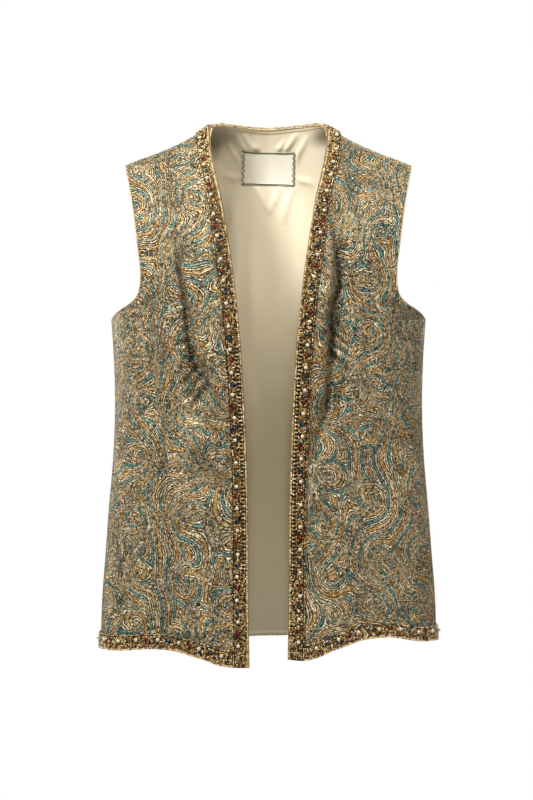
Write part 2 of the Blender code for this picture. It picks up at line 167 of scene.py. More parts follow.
# Creases too small for the plain model, in the same form
creases = {
    "right": [
        (-5.2, 2.7, [(119, 140), (114, 168), (112, 188), (107.5, 209), (105, 226), (104, 247),
                     (102, 268)]),
        (-5.4, 2.6, [(104, 246), (102, 268), (99.5, 285), (95, 300), (93, 314), (86, 326), (76, 342)]),
        (-3.8, 2.4, [(110, 342), (98, 326), (86, 312)]),
        (-3.8, 2.4, [(104, 357), (94, 342), (82, 326)]),
        (-3.4, 2.4, [(98, 370), (88, 354), (77, 340)]),
        (-3.4, 2.4, [(114, 289), (107, 286), (101, 283)]),
        (-3.6, 2.4, [(111, 328), (106, 312), (101, 296)]),
        (-3.6, 2.4, [(101, 320), (98, 308), (95, 298)]),
        (2.4, 2.4, [(106, 334), (94, 320)]),
        (2.4, 2.4, [(98, 349), (88, 335)]),
        (2.2, 2.4, [(106, 320), (103, 304)]),
        (-2.8, 3.2, [(76, 342), (66, 356), (56, 380)]),
        (2.4, 3.2, [(112, 150), (104, 200), (97, 236), (94, 262)]),
        (-3.0, 2.9, [(150, 226), (149, 262), (148, 300), (146, 350), (144, 384)]),
        (-1.4, 3.2, [(146, 240), (128, 262), (112, 290)]),
        (-1.2, 3.4, [(166, 262), (160, 320), (152, 372)]),
        (-1.2, 3.6, [(120, 330), (114, 372), (112, 420)]),
        (-1.5, 4.0, [(95, 470), (84, 520), (80, 570)]),
        (-1.2, 4.0, [(150, 70), (130, 110), (112, 150)]),
    ],
    "left": [
        (-5.0, 2.7, [(82, 136), (83, 166), (88, 196), (88, 213), (80, 240), (78, 262), (79, 300)]),
        (-3.8, 2.4, [(80, 254), (92, 272), (105, 289)]),
        (-3.8, 2.4, [(78, 270), (92, 284), (103, 296)]),
        (-3.6, 2.4, [(78, 286), (90, 296), (100, 304)]),
        (-3.6, 2.4, [(78, 298), (88, 308), (96, 318)]),
        (-5.0, 2.6, [(98, 312), (94, 322), (91, 334), (87, 350), (85, 368), (88, 388)]),
        (-4.0, 2.7, [(79, 300), (77, 330), (72, 372), (60, 410)]),
        (2.4, 2.4, [(84, 266), (97, 283)]),
        (2.4, 2.4, [(84, 281), (97, 294)]),
        (2.2, 2.4, [(82, 293), (93, 304)]),
        (2.4, 3.2, [(76, 150), (78, 200), (70, 240), (68, 290)]),
        (-1.4, 3.2, [(104, 210), (96, 262), (92, 300)]),
        (-1.2, 3.4, [(166, 262), (156, 318), (150, 360)]),
        (-1.3, 3.4, [(146, 232), (132, 262), (122, 300)]),
        (-1.2, 3.6, [(110, 380), (100, 430), (98, 470)]),
        (-1.3, 4.0, [(60, 440), (72, 480), (76, 530)]),
        (-1.2, 4.0, [(150, 74), (134, 116), (122, 156)]),
    ],
    "back": [
        (-1.4, 4.0, [(-176, 262), (-150, 300), (-140, 350)]),
        (-1.4, 4.0, [(176, 262), (150, 306), (142, 352)]),
        (-1.2, 4.5, [(-66, 330), (-60, 400), (-64, 470)]),
        (-1.2, 4.5, [(66, 300), (58, 380), (62, 460)]),
        (-1.0, 5.0, [(-20, 420), (-16, 520)]),
        (-1.0, 5.0, [(26, 460), (22, 560)]),
    ],
}


def follow(rows, column, at, along="drop"):
    # the column's value at each place, on a smooth cubic curve through the table's rows
    x, y = rows[along], rows[column]
    slope = np.gradient(y, x)
    at = np.clip(np.asarray(at, float), x[0], x[-1])
    i = np.clip(np.searchsorted(x, at, side="right") - 1, 0, len(x) - 2)
    width = x[i + 1] - x[i]
    t = (at - x[i]) / width
    start = (1 + 2 * t) * (1 - t) ** 2 * y[i] + t * (1 - t) ** 2 * width * slope[i]
    return start + t * t * (3 - 2 * t) * y[i + 1] + t * t * (t - 1) * width * slope[i + 1]


def smoothStep(share):
    # 0 to 1 with level ends
    share = np.clip(share, 0, 1)
    return share * share * (3 - 2 * share)


def ridgeHeight(across):
    # height of the shoulder line at this distance from the centre
    return follow(cut["ridge"], "height", np.abs(across), "across")


def topEdge(panel, across):
    # height of the top edge: the shoulder line, and on the back also the neck curve
    if panel == "back":
        neck = follow(cut["backNeck"], "height", np.abs(across), "across")
        return np.where(np.abs(across) < cut["neckHalf"], neck, ridgeHeight(across))
    return ridgeHeight(np.maximum(np.abs(across), cut["neckHalf"]))


def hemRise(panel, across):
    # how far the hem stands above its level line
    if panel == "back":
        return follow(cut["backHem"], "rise", across, "across")
    return follow(cut["frontHem"], panel, np.abs(across), "across")


def level(panel, drop, across):
    # height of a row: it starts along the top edge, runs level at the waist and ends along the hem
    fromTop = np.clip(1 - drop / cut["underarm"], 0, 1)
    fromHem = np.clip((drop - cut["hemShapeStarts"]) / (cut["hem"] - cut["hemShapeStarts"]), 0, 1)
    return -drop + fromTop * topEdge(panel, across) + fromHem * hemRise(panel, across)


def fullness(across, below, depth, fall):
    # distance out from the shoulder line's plane: round over the ridge, then full at the chest
    toArmhole = smoothStep((np.abs(across) - cut["neckHalf"]) / (cut["shoulderHalf"] - cut["neckHalf"]))
    reach = fall["neck"] + (fall["armhole"] - fall["neck"]) * toArmhole
    share = np.clip(below / reach, 0, 1)
    out = depth * (1 - (1 - share) ** fall["power"])
    rounding = 2 * cut["ridgeRounding"]
    return depth * np.sqrt((out**2 + rounding * out) / (depth**2 + rounding * depth))


def basePoint(panel, drop, angle):
    # the smooth form: a squared oval whose half-width and depth change with the drop
    power = 2 / cut["squareness"]
    half = follow(cut["body"], "half", drop)
    across = np.sign(angle) * half * np.sin(np.abs(angle)) ** power
    height = level(panel, drop, across)
    side = "back" if panel == "back" else "front"
    depth = follow(cut["body"], side, drop)
    out = fullness(across, ridgeHeight(across) - height, depth, cut[side + "Fall"])
    out = out * np.clip(np.cos(angle), 0, 1) ** power + cut["seamGap"] / 2
    return np.stack([across, out if panel == "back" else -out, height], -1)


def normalsOf(pointsAt, panel, drop, angle):
    # outward normals from small steps either way along the drop and the angle
    down = pointsAt(panel, np.minimum(drop + 0.5, cut["hem"]), angle)
    down = down - pointsAt(panel, np.maximum(drop - 0.5, 0), angle)
    along = pointsAt(panel, drop, np.clip(angle + 1e-3, -quarterTurn, quarterTurn))
    along = along - pointsAt(panel, drop, np.clip(angle - 1e-3, -quarterTurn, quarterTurn))
    normal = np.cross(down, along)
    normal /= np.linalg.norm(normal, axis=-1, keepdims=True)
    outward = 1 if panel == "back" else -1
    return normal * np.where(normal[..., 1] * outward < 0, -1, 1)[..., None]


def foldHeight(foldList, across, drop):
    # sum of soft bumps, each a bell across its path that dies away at both ends
    total = np.zeros(np.broadcast(across, drop).shape)
    for height, halfWidth, path in foldList:
        path = np.array(path, float)
        lengths = np.linalg.norm(np.diff(path, axis=0), axis=1)
        starts = np.concatenate([[0], np.cumsum(lengths)])
        nearest, place = np.full(total.shape, np.inf), np.zeros(total.shape)
        for (x0, d0), (x1, d1), length, start in zip(path[:-1], path[1:], lengths, starts):
            t = np.clip(((across - x0) * (x1 - x0) + (drop - d0) * (d1 - d0)) / length**2, 0, 1)
            away = (across - x0 - t * (x1 - x0)) ** 2 + (drop - d0 - t * (d1 - d0)) ** 2
            closer = away < nearest
            nearest = np.where(closer, away, nearest)
            place = np.where(closer, (start + t * length) / starts[-1], place)
        total += height * (0.45 + 0.55 * np.sin(np.pi * place)) * np.exp(-nearest / (2 * halfWidth**2))
    return total


def creaseHeight(panel, points, drop):
    # folds and creases, which die away at the seams and the stiff braid
    across = points[..., 0]
    along = across if panel == "back" else np.abs(across)
    height = foldHeight(folds[panel], along, drop) + foldHeight(creases[panel], along, drop)
    if panel != "back":
        height = height * smoothStep((along - follow(cut["frontEdge"], "across", drop) - 2) / 34)
    return height * smoothStep(np.abs(points[..., 1]) / 40) * smoothStep(drop / 60)


def clothPoint(panel, drop, angle):
    # the outer face: the smooth form, moved out or in by its folds
    points = basePoint(panel, drop, angle)
    height = creaseHeight(panel, points, drop)
    return points + normalsOf(basePoint, panel, drop, angle) * height[..., None]


def angleAt(drop, across):
    # the squared oval's angle: arc sine of the share of the half-width, raised to half the squareness
    share = np.clip(np.abs(across) / follow(cut["body"], "half", drop), 0, 1)
    return np.sign(across) * np.arcsin(share ** (cut["squareness"] / 2))


def outerReach(panel, drop):
    # where a row ends: on the armhole above the underarm, at the side seam below it
    reach = np.full(np.shape(drop), cut["armhole"]["across"][0])
    for repeat in range(30):
        reach = 0.5 * reach + 0.5 * follow(cut["armhole"], "across", -level(panel, drop, reach))
    return np.where(drop >= cut["underarm"], follow(cut["body"], "half", drop), reach)


def gridNormals(points, outward):
    # normals of a grid from its own steps, turned to point outwards
    normal = np.cross(np.gradient(points, axis=0), np.gradient(points, axis=1))
    normal /= np.linalg.norm(normal, axis=-1, keepdims=True)
    flip = np.sign((normal * outward).sum(-1).mean())
    return normal * flip


def rowsOf(step):
    # drops of the rows: close over the shoulder, even on the body, 2 mm apart under the hem braid,
    # and close again above the underarm, where the armhole runs almost level
    body = np.linspace(14, 660, round(646 / step) + 1)
    body = body[np.abs(body - cut["underarm"] + 0.9) > 1.4]    # none among the close rows
    underarm = cut["underarm"] - np.array(cut["underarmRows"])
    return np.sort(np.concatenate([cut["shoulderRows"], body, underarm, np.arange(662, 681, 2)]))


def panelChart(panel, drops, columns):
    # a grid on the panel: even steps along each row, after the braid's own steps on a front
    side = {"right": -1, "left": 1, "back": 1}[panel]
    outer = angleAt(drops, outerReach(panel, drops))
    inner = -outer if panel == "back" else angleAt(drops, follow(cut["frontEdge"], "across", drops))
    angle = side * (inner[:, None] + (outer - inner)[:, None] * np.linspace(0, 1, 161))
    points = clothPoint(panel, drops[:, None] + 0 * angle, angle)
    steps = np.linalg.norm(np.diff(points, axis=1), axis=2)
    run = np.concatenate([np.zeros((len(drops), 1)), np.cumsum(steps, axis=1)], axis=1)
    if panel == "back":
        wanted = run[:, -1:] * np.linspace(0, 1, columns)
    else:
        rest = 20 + (run[:, -1:] - 20) * np.linspace(0, 1, columns)[1:]
        wanted = np.concatenate([np.tile(np.arange(0, 21, 2.0), (len(drops), 1)), rest], axis=1)
    angle = np.stack([np.interp(w, r, a) for w, r, a in zip(wanted, run, angle)])
    drop = drops[:, None] + 0 * angle
    points = clothPoint(panel, drop, angle)
    normal = gridNormals(points, np.array([0, 1.0 if panel == "back" else -1.0, 0]))
    # the cloth's own flat coordinates: across from a plumb line, and down from the shoulder
    plumb = 0.0 if panel == "back" else side * 110.0
    start, middle = (
        np.array([np.interp(plumb * side, p * side, v) for p, v in zip(points[..., 0], values)])
        for values in (wanted, points[..., 2]))
    centre = points[:, points.shape[1] // 2]
    down = np.concatenate([[0], np.cumsum(np.linalg.norm(np.diff(centre, axis=0), axis=1))])
    down = down[:, None] + middle[:, None] - points[..., 2]
    flat = np.stack([side * (wanted - start[:, None]), down], -1)
    # and how deep in a crease each point lies, from 0 to 1, which sets the painted crease shade
    along = points[..., 0] if panel == "back" else np.abs(points[..., 0])
    narrow = foldHeight([fold for fold in creases[panel] if fold[0] < -2], along, drop)
    wide = creaseHeight(panel, basePoint(panel, drop, angle), drop)
    depth = np.clip((-narrow - 2.2) / 2.4, 0, 0.8) + np.clip(-wide / 50, 0, 0.2)
    return {"points": points, "normals": normal, "flat": flat, "drops": drops, "depth": depth}


def gridFaces(rows, columns, flip=False):
    # quads of a grid, wound one way or the other
    i = (np.arange(rows - 1)[:, None] * columns + np.arange(columns - 1)).ravel()
    quads = np.stack([i, i + columns, i + columns + 1, i + 1], -1)
    return (quads[:, ::-1] if flip else quads).tolist()


def outwardFaces(points, normals):
    # a grid's quads, wound so that they face along its normals
    first = np.cross(points[1, 0] - points[0, 0], points[0, 1] - points[0, 0])
    flip = (first * normals[0, 0]).sum() < 0
    return gridFaces(points.shape[0], points.shape[1], flip)


# what a part's points may carry: the kind of attribute, its width and its field
carried = {
    "swirl": ("FLOAT_VECTOR", 3, "vector"),
    "tone": ("FLOAT_COLOR", 4, "color"),
    "paintedShade": ("FLOAT", 1, "value"),
}


def meshPiece(name, parts, materials):
    # one object from several parts, each with its points in millimetres, its faces and its slot
    mesh = bpy.data.meshes.new(name)
    points = np.concatenate([part["points"].reshape(-1, 3) for part in parts])
    faces, slots, smooth, start = [], [], [], 0
    for part in parts:
        faces += [[corner + start for corner in face] for face in part["faces"]]
        slots += [part.get("slot", 0)] * len(part["faces"])
        smooth += [part.get("smooth", True)] * len(part["faces"])
        start += part["points"].size // 3
    mesh.from_pydata((points * mm).tolist(), [], faces)
    mesh.polygons.foreach_set("material_index", np.array(slots, np.int32))
    mesh.polygons.foreach_set("use_smooth", np.array(smooth, bool))
    for key, (kind, width, field) in carried.items():
        if any(key in part for part in parts):
            layer = mesh.attributes.new(key, kind, "POINT")
            blank = [part.get(key, np.ones((part["points"].size // 3, width))) for part in parts]
            values = np.concatenate([b.reshape(-1, width) for b in blank]).astype(np.float32)
            layer.data.foreach_set(field, values.ravel())
    if any("flat" in part for part in parts):
        layer = mesh.uv_layers.new(name="cloth")
        flat = np.concatenate([part.get("flat", np.zeros((part["points"].size // 3, 2))).reshape(-1, 2)
                               for part in parts])
        corner = np.zeros(len(mesh.loops), np.int32)
        mesh.loops.foreach_get("vertex_index", corner)
        layer.data.foreach_set("uv", (flat * mm)[corner].astype(np.float32).ravel())
    for material in materials:
        mesh.materials.append(material)
    mesh.update()
    piece = bpy.data.objects.new(name, mesh)
    bpy.context.scene.collection.objects.link(piece)
    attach(piece, "root")
    return piece


def thicken(piece, thickness, innerSlot=0):
    # gives a sheet its thickness inwards, with the lining's slot on the inner face
    wall = piece.modifiers.new("thickness", "SOLIDIFY")
    wall.thickness, wall.offset = thickness * mm, -1
    wall.use_even_offset = False
    wall.material_offset = innerSlot
    return piece


# The motifs of one repeat, laid out for this scene: curls as (across, down, way, hand,
# size). A curl's way is which side of the stream it turns on, its hand how it winds inwards.
swirls = {
    "repeatWide": 126.0,
    "repeatHigh": 212.0,
    "bandPeriod": 16.8,     # one run of bands from teal round to teal
    "pull": 4.2,            # how strongly a curl draws the stream round itself
    "vary": 0.2,            # how much the bands widen and narrow over the cloth
    "curls": [(24, 30, 1, 1, 15), (90, 62, -1, -1, 16), (28, 98, -1, 1, 14), (88, 128, 1, -1, 13),
              (26, 160, 1, 1, 16), (92, 192, -1, -1, 14)],
    "rounds": 400,          # rounds in which the bands settle
    # the cloth marbles where neighbours agree less than fully by this much, over this span, and
    # where the bands turn slower than this share of their even rate; each ends with its least share
    "marbling": (0.055, 0.027, 0.1),
    "slow": (0.3, 0.15),
}


def flowOf(flat, wave):
    # The way across the bands: one for a sideways step, plus a soft vortex at every curl, plus
    # slow waves; close to a curl it turns a little, so that bands wind into its middle.
    x, y = flat[..., 0], flat[..., 1]
    wide, high = swirls["repeatWide"], swirls["repeatHigh"]
    across = 1.0 + 0.3 * np.sin(y / 23 + wave)
    down = 0.7 * np.sin(y / 27 + wave + 0.6 * np.sin(x / 31))
    twist = np.zeros(x.shape)
    stream = x / swirls["bandPeriod"]
    for dx in np.arange(np.floor(x.min() / wide) - 1, np.floor(x.max() / wide) + 2):
        for dy in np.arange(np.floor(y.min() / high) - 2, np.floor(y.max() / high) + 2):
            for cx, cy, way, hand, size in swirls["curls"]:
                ax, ay = x - cx - dx * wide, y - cy - (dy + dx % 2 / 2) * high
                away = np.hypot(ax, ay) + 1e-6
                pull = way * swirls["pull"] * np.exp(-0.5 * (away / size) ** 2)
                across, down = across - pull * ax / size, down - pull * ay / size
                winding = hand * np.arctan2(ay, ax) / fullTurn
                stream += 0.4 * pull * size / swirls["bandPeriod"] + winding
                lead = np.arctan2(swirls["bandPeriod"], fullTurn * away)
                twist -= way * hand * lead * np.exp(-((away / size / 1.7) ** 4))
    long = np.hypot(across, down) + 1e-6
    across, down = across / long, down / long
    turned = across * np.cos(twist) - down * np.sin(twist)
    return turned, across * np.sin(twist) + down * np.cos(twist), stream


def settle(wave, flat, across, down, turns, rounds):
    # Each point's phase becomes the mean of its four neighbours' phases, each moved on by the
    # distance across the flow times the turns per millimetre.
    def moved(axis):
        fore, aft = [slice(None)] * 2, [slice(None)] * 2
        fore[axis], aft[axis] = slice(1, None), slice(None, -1)
        fore, aft = tuple(fore), tuple(aft)
        step = flat[fore] - flat[aft]
        way = step[..., 0] * (across[fore] + across[aft]) + step[..., 1] * (down[fore] + down[aft])
        return np.exp(0.25j * (turns[fore] + turns[aft]) * way)

    onDown, onAcross = moved(0), moved(1)
    near = np.full(wave.shape, 4.2)
    near[[0, -1]] -= 1
    near[:, [0, -1]] -= 1
    for repeat in range(rounds):
        total = 0.2 * wave
        total[1:] += wave[:-1] * onDown
        total[:-1] += wave[1:] * onDown.conj()
        total[:, 1:] += wave[:, :-1] * onAcross
        total[:, :-1] += wave[:, 1:] * onAcross.conj()
        wave = total / (np.abs(total) + 1e-9)
    return wave, np.abs(total) / near


def smoothed(values, repeats):
    # each value becomes the mean of itself and its four neighbours, several times over
    for repeat in range(repeats):
        edge = np.pad(values, 1, mode="edge")
        values = (edge[:-2, 1:-1] + edge[2:, 1:-1] + edge[1:-1, :-2] + edge[1:-1, 2:] + values) / 5
    return values


def bandRate(fine, flat):
    # turns of phase per millimetre, from the steps along rows and columns, smoothed a little
    total = np.zeros(fine.shape)
    for axis in (0, 1):
        turn = np.angle(np.moveaxis(fine, axis, 0)[1:] * np.moveaxis(fine, axis, 0)[:-1].conj())
        long = np.linalg.norm(np.diff(np.moveaxis(flat, axis, 0), axis=0), axis=-1)
        rate = np.pad((turn / np.maximum(long, 0.3)) ** 2, ((1, 1), (0, 0)), mode="edge")
        total += np.moveaxis((rate[1:] + rate[:-1]) / 2, 0, axis)
    return np.sqrt(smoothed(total, 4))


def swirlField(flat, wave):
    # Evenly spaced bands along the flow, settled on every second point first and then on all.
    across, down, stream = flowOf(flat, wave)
    varied = swirls["vary"] * np.sin(flat[..., 0] / 37 + wave) * np.sin(flat[..., 1] / 43)
    period = swirls["bandPeriod"] * (1 + varied)
    turns = fullTurn / period
    few = (slice(None, None, 2), slice(None, None, 2))
    coarse = settle(np.exp(2j * np.pi * stream[few]), flat[few], across[few], down[few], turns[few],
                    swirls["rounds"])[0]
    rows, columns = np.arange(flat.shape[0]) // 2, np.arange(flat.shape[1]) // 2
    step = flat - flat[few][rows][:, columns]
    fine = coarse[rows][:, columns] * np.exp(1j * turns * (step[..., 0] * across + step[..., 1] * down))
    fine, agreed = settle(fine, flat, across, down, turns, swirls["rounds"] // 4)
    # where neighbours disagree the bands run wide: the vector is short there, and the cloth marbles
    lines = np.arange(agreed.shape[0])
    agreed = np.median([agreed[np.clip(lines + step, 0, lines[-1])] for step in (-3, 0, 3)], axis=0)
    agreed = smoothed(agreed, 3)
    coarser = (np.median(np.abs(np.diff(flat[..., 1], axis=0))) / 2.1) ** 2
    below, span, least = swirls["marbling"]
    fine = fine * np.clip((agreed - 1 + below * coarser) / (span * coarser), least, 1)
    # and where the phase hardly changes from one point to the next
    rate = bandRate(fine, flat) * period / fullTurn
    slow, least = swirls["slow"]
    fine = fine * np.clip((rate - slow) / slow, least, 1)
    return np.stack([fine.real, fine.imag, 0 * fine.real], -1)


brocadeLook = {
    # colours of the bands and the ground, and the pale colour of the painted glints
    "teal": "#527F77", "copper": "#AC854C", "cream": "#D4C298", "silver": "#B49F78",
    "ink": "#0D0904", "umber": "#33230B", "glint": "#FFF6DC",
    # bands in millimetres across one period
    "bands": [("teal", 2.6), ("ink", 0.9), ("cream", 1.4), ("umber", 1.0), ("silver", 1.5),
              ("umber", 0.9), ("copper", 3.9), ("ink", 0.9), ("cream", 1.4), ("umber", 1.0),
              ("silver", 1.5), ("umber", 0.9)],
    "height": {"teal": 0.6, "copper": 0.7, "cream": 1.0, "silver": 0.9, "ink": 0.0, "umber": 0.1},
    # where one band's yarn dives under another's: the two bands, the patches' noise per metre,
    # the noise value at which they start, and the phases between which the gate opens
    "patches": [("teal", "silver", 41.0, 0.51, (0.39, 0.37)),
                ("copper", "cream", 37.0, 0.6, (0.37, 0.39))],
    # noises per metre: wobble of the bands, marbling, yarn grain, light and dark areas, dashes
    "wobble": 300.0, "marble": 150.0, "grain": 450.0, "mood": 34.0, "dash": 230.0,
    "glints": 470.0,        # painted metal yarn glints per metre, about 2 mm apart
    "yarnLines": 8,         # fine yarn lines in one period of bands
    "creaseShade": 0.74,    # how dark the painted shade gets at the bottom of a crease
    "relief": 0.0011,       # height of the woven ridges in metres
}


def bandStops(look, swap, asHeight=False):
    # ramp stops with a short blend between bands; swap renames some bands
    total = sum(width for name, width in look["bands"])
    stops, place = [], 0.0
    for name, width in look["bands"]:
        name = swap.get(name, name)
        if asHeight:
            colour = (look["height"][name],) * 3 + (1.0,)
        else:
            colour = hexColour(look[name])
        soft = min(0.3, width / 3)
        stops += [((place + soft) / total, colour), ((place + width - soft) / total, colour)]
        place += width
    return stops


def brocadeMaterial(name, look):
    # metallic yarn brocade, woven in raised ridges: flat foil yarns that glint over a dull dark ground
    material, tree, shader = newMaterial(name, Metallic=0.25, Roughness=0.45, Specular_IOR_Level=0.25,
                                         Specular_Tint=hexColour("#E8D2A4"))
    swirl = addNode(tree, "Attribute", attribute_name="swirl").outputs["Vector"]
    part = addNode(tree, "SeparateXYZ", {0: swirl})
    place = addNode(tree, "TexCoord").outputs["Object"]
    real, imaginary, depth = part.outputs
    angle = addNode(tree, "Math", {0: imaginary, 1: real}, operation="ARCTAN2").outputs[0]
    wobble, marble, grain = (
        addNode(tree, "TexNoise", {"Vector": place, "Scale": look[key], "Detail": 2.0}).outputs["Fac"]
        for key in ("wobble", "marble", "grain"))
    flatWave = addNode(tree, "CombineXYZ", {0: real, 1: imaginary}).outputs[0]
    tight = addNode(tree, "VectorMath", {0: flatWave}, operation="LENGTH").outputs["Value"]
    loose = addNode(tree, "MapRange", {0: tight, 1: 0.2, 2: 0.9, 3: 1.4, 4: 0.0}).outputs[0]
    turns = addNode(tree, "Math", {0: angle, 1: 1 / fullTurn, 2: 2.0}, operation="MULTIPLY_ADD").outputs[0]
    turns = addNode(tree, "Math", {0: wobble, 1: 0.17, 2: turns}, operation="MULTIPLY_ADD").outputs[0]
    turns = addNode(tree, "Math", {0: marble, 1: loose, 2: turns}, operation="MULTIPLY_ADD").outputs[0]
    phase = addNode(tree, "Math", {0: turns}, operation="FRACT").outputs[0]
    height = addNode(tree, "ValToRGB", {0: phase}, stops=bandStops(look, {}, True)).outputs[0]
    # the teal and copper yarns come up in patches, each in its own places, and dive elsewhere
    bands = addNode(tree, "ValToRGB", {0: phase}, stops=bandStops(look, {})).outputs[0]
    for band, other, scale, low, (shut, wide) in look["patches"]:
        shifted = addNode(tree, "VectorMath", {0: place, 1: (scale, 0.0, 0.0)}, operation="ADD").outputs[0]
        patch = addNode(tree, "TexNoise", {"Vector": shifted, "Scale": scale, "Detail": 1.0}).outputs["Fac"]
        patch = addNode(tree, "MapRange", {0: patch, 1: low, 2: low + 0.05, 4: 0.85}).outputs[0]
        plain = addNode(tree, "ValToRGB", {0: phase}, stops=bandStops(look, {band: other})).outputs[0]
        gate = addNode(tree, "MapRange", {0: phase, 1: shut, 2: wide}).outputs[0]
        patch = addNode(tree, "Math", {0: patch, 1: gate}, operation="MULTIPLY").outputs[0]
        bands = addNode(tree, "Mix", {0: patch, 6: bands, 7: plain}, data_type="RGBA").outputs[2]
    # fine yarn lines that run with the bands
    perTurn = fullTurn * look["yarnLines"]
    lines = addNode(tree, "Math", {0: turns, 1: perTurn}, operation="MULTIPLY").outputs[0]
    lines = addNode(tree, "Math", {0: lines}, operation="SINE").outputs[0]
    # painted glints (pale spots in the colour that stand in for the metal yarn's highlights) and dark gaps,
    # where the metal yarn floats over the ground
    cells = addNode(tree, "TexVoronoi", {"Vector": place, "Scale": look["glints"], "Randomness": 1.0})
    chance = addNode(tree, "SeparateColor", {0: cells.outputs["Color"]})
    spot = addNode(tree, "MapRange", {0: cells.outputs["Distance"], 1: 0.62, 2: 0.3}).outputs[0]
    raised = addNode(tree, "MapRange", {0: height, 1: 0.5, 2: 0.95, 3: 0.1, 4: 1.0}).outputs[0]
    bright = addNode(tree, "MapRange", {0: chance.outputs[0], 1: 0.44, 2: 0.66, 4: 1.0}).outputs[0]
    bright = addNode(tree, "Math", {0: bright, 1: spot}, operation="MULTIPLY").outputs[0]
    bright = addNode(tree, "Math", {0: bright, 1: raised}, operation="MULTIPLY").outputs[0]
    dark = addNode(tree, "MapRange", {0: chance.outputs[1], 1: 0.45, 2: 0.66, 4: 1.0}).outputs[0]
    dark = addNode(tree, "Math", {0: dark, 1: spot}, operation="MULTIPLY").outputs[0]
    # the yarn's grain, broken into lighter and darker areas, and into dashes on the raised yarns
    grain = addNode(tree, "MapRange", {0: grain, 1: 0.3, 2: 0.7, 3: 0.24, 4: 1.7}).outputs[0]
    mood = addNode(tree, "TexNoise", {"Vector": place, "Scale": look["mood"], "Detail": 3.0}).outputs["Fac"]
    mood = addNode(tree, "MapRange", {0: mood, 1: 0.36, 2: 0.64, 3: 0.66, 4: 1.16}).outputs[0]
    grain = addNode(tree, "Math", {0: grain, 1: mood}, operation="MULTIPLY").outputs[0]
    dash = addNode(tree, "TexNoise", {"Vector": place, "Scale": look["dash"], "Detail": 1.0}).outputs["Fac"]
    dash = addNode(tree, "MapRange", {0: dash, 1: 0.40, 2: 0.56, 3: 0.5, 4: 1.2}).outputs[0]
    dash = addNode(tree, "Mix", {0: raised, 2: 1.0, 3: dash}).outputs[0]
    grain = addNode(tree, "Math", {0: grain, 1: dash}, operation="MULTIPLY").outputs[0]
    shade = addNode(tree, "MapRange", {0: lines, 1: -1.0, 2: 1.0, 3: 0.7, 4: 1.1}).outputs[0]
    shade = addNode(tree, "Math", {0: shade, 1: grain}, operation="MULTIPLY").outputs[0]
    bands = addNode(tree, "VectorMath", {0: bands, "Scale": shade}, operation="SCALE").outputs[0]
    # painted crease shade: the colour is darkened towards ink down in the creases, broken up by the grain
    paintedCreaseShade = addNode(tree, "MapRange", {0: depth, 1: 0.03, 2: 1.0, 4: look["creaseShade"]}).outputs[0]
    paintedCreaseShade = addNode(tree, "Math", {0: paintedCreaseShade, 1: grain}, operation="MULTIPLY").outputs[0]
    # mix in the dark gaps of the ground, then the painted glints, then the painted crease shade
    for share, colour in ((dark, "ink"), (bright, "glint"), (paintedCreaseShade, "ink")):
        tint = {0: share, 6: bands, 7: hexColour(look[colour])}
        bands = addNode(tree, "Mix", tint, data_type="RGBA").outputs[2]
    tree.links.new(bands, shader.inputs["Base Color"])
    relief = addNode(tree, "Math", {0: lines, 1: 0.12, 2: height}, operation="MULTIPLY_ADD").outputs[0]
    relief = addNode(tree, "Math", {0: bright, 1: 0.4, 2: relief}, operation="MULTIPLY_ADD").outputs[0]
    bump = addNode(tree, "Bump", {"Height": relief, "Strength": 1.0, "Distance": look["relief"]}).outputs[0]
    tree.links.new(bump, shader.inputs["Normal"])
    return material


# the satin's colour, a cloudy tone that varies at random, and the dark olive of its painted shade
satinLook = {"colour": "#E2D8BF", "shade": "#D5C8AB", "paintedShade": "#5C5334"}


def satinMaterial(name, look):
    # polyester satin: long floats lie flat, so it is smooth with a soft broad gloss
    material, tree, shader = newMaterial(name, Roughness=0.42, Sheen_Weight=0.25,
                                         Specular_IOR_Level=0.45)
    place = addNode(tree, "TexCoord").outputs["Object"]
    cloud = addNode(tree, "TexNoise", {"Vector": place, "Scale": 9.0, "Detail": 2.0}).outputs["Fac"]
    # painted shade: the lining's attribute darkens the satin towards the dark olive
    paintedShade = addNode(tree, "Attribute", attribute_name="paintedShade").outputs["Fac"]
    colour = hexColour(look["colour"])
    for share, darker in ((cloud, "shade"), (paintedShade, "paintedShade")):
        tint = {0: share, 6: colour, 7: hexColour(look[darker])}
        colour = addNode(tree, "Mix", tint, data_type="RGBA").outputs[2]
    tree.links.new(colour, shader.inputs["Base Color"])
    weave = addNode(tree, "TexNoise", {"Vector": place, "Scale": 900.0, "Detail": 1.0}).outputs["Fac"]
    bump = addNode(tree, "Bump", {"Height": weave, "Strength": 0.12, "Distance": 0.0002}).outputs[0]
    tree.links.new(bump, shader.inputs["Normal"])
    return material


satin = satinMaterial("cream polyester satin", satinLook)
brocade = brocadeMaterial("metallic yarn swirl brocade", brocadeLook)

panels = {
    "right": {"rowStep": 2.1, "columns": 100, "wave": 0.3, "shift": (20.0, 60.0)},
    "left": {"rowStep": 2.1, "columns": 100, "wave": 1.7, "shift": (66.0, -20.0)},
    "back": {"rowStep": 2.9, "columns": 176, "wave": 2.6, "shift": (0.0, 0.0)},
}
charts = {}
for panelName, panel in panels.items():
    charts[panelName] = panelChart(panelName, rowsOf(panel["rowStep"]), panel["columns"])
    print("cloth worked out:", panelName, charts[panelName]["points"].shape[:2])


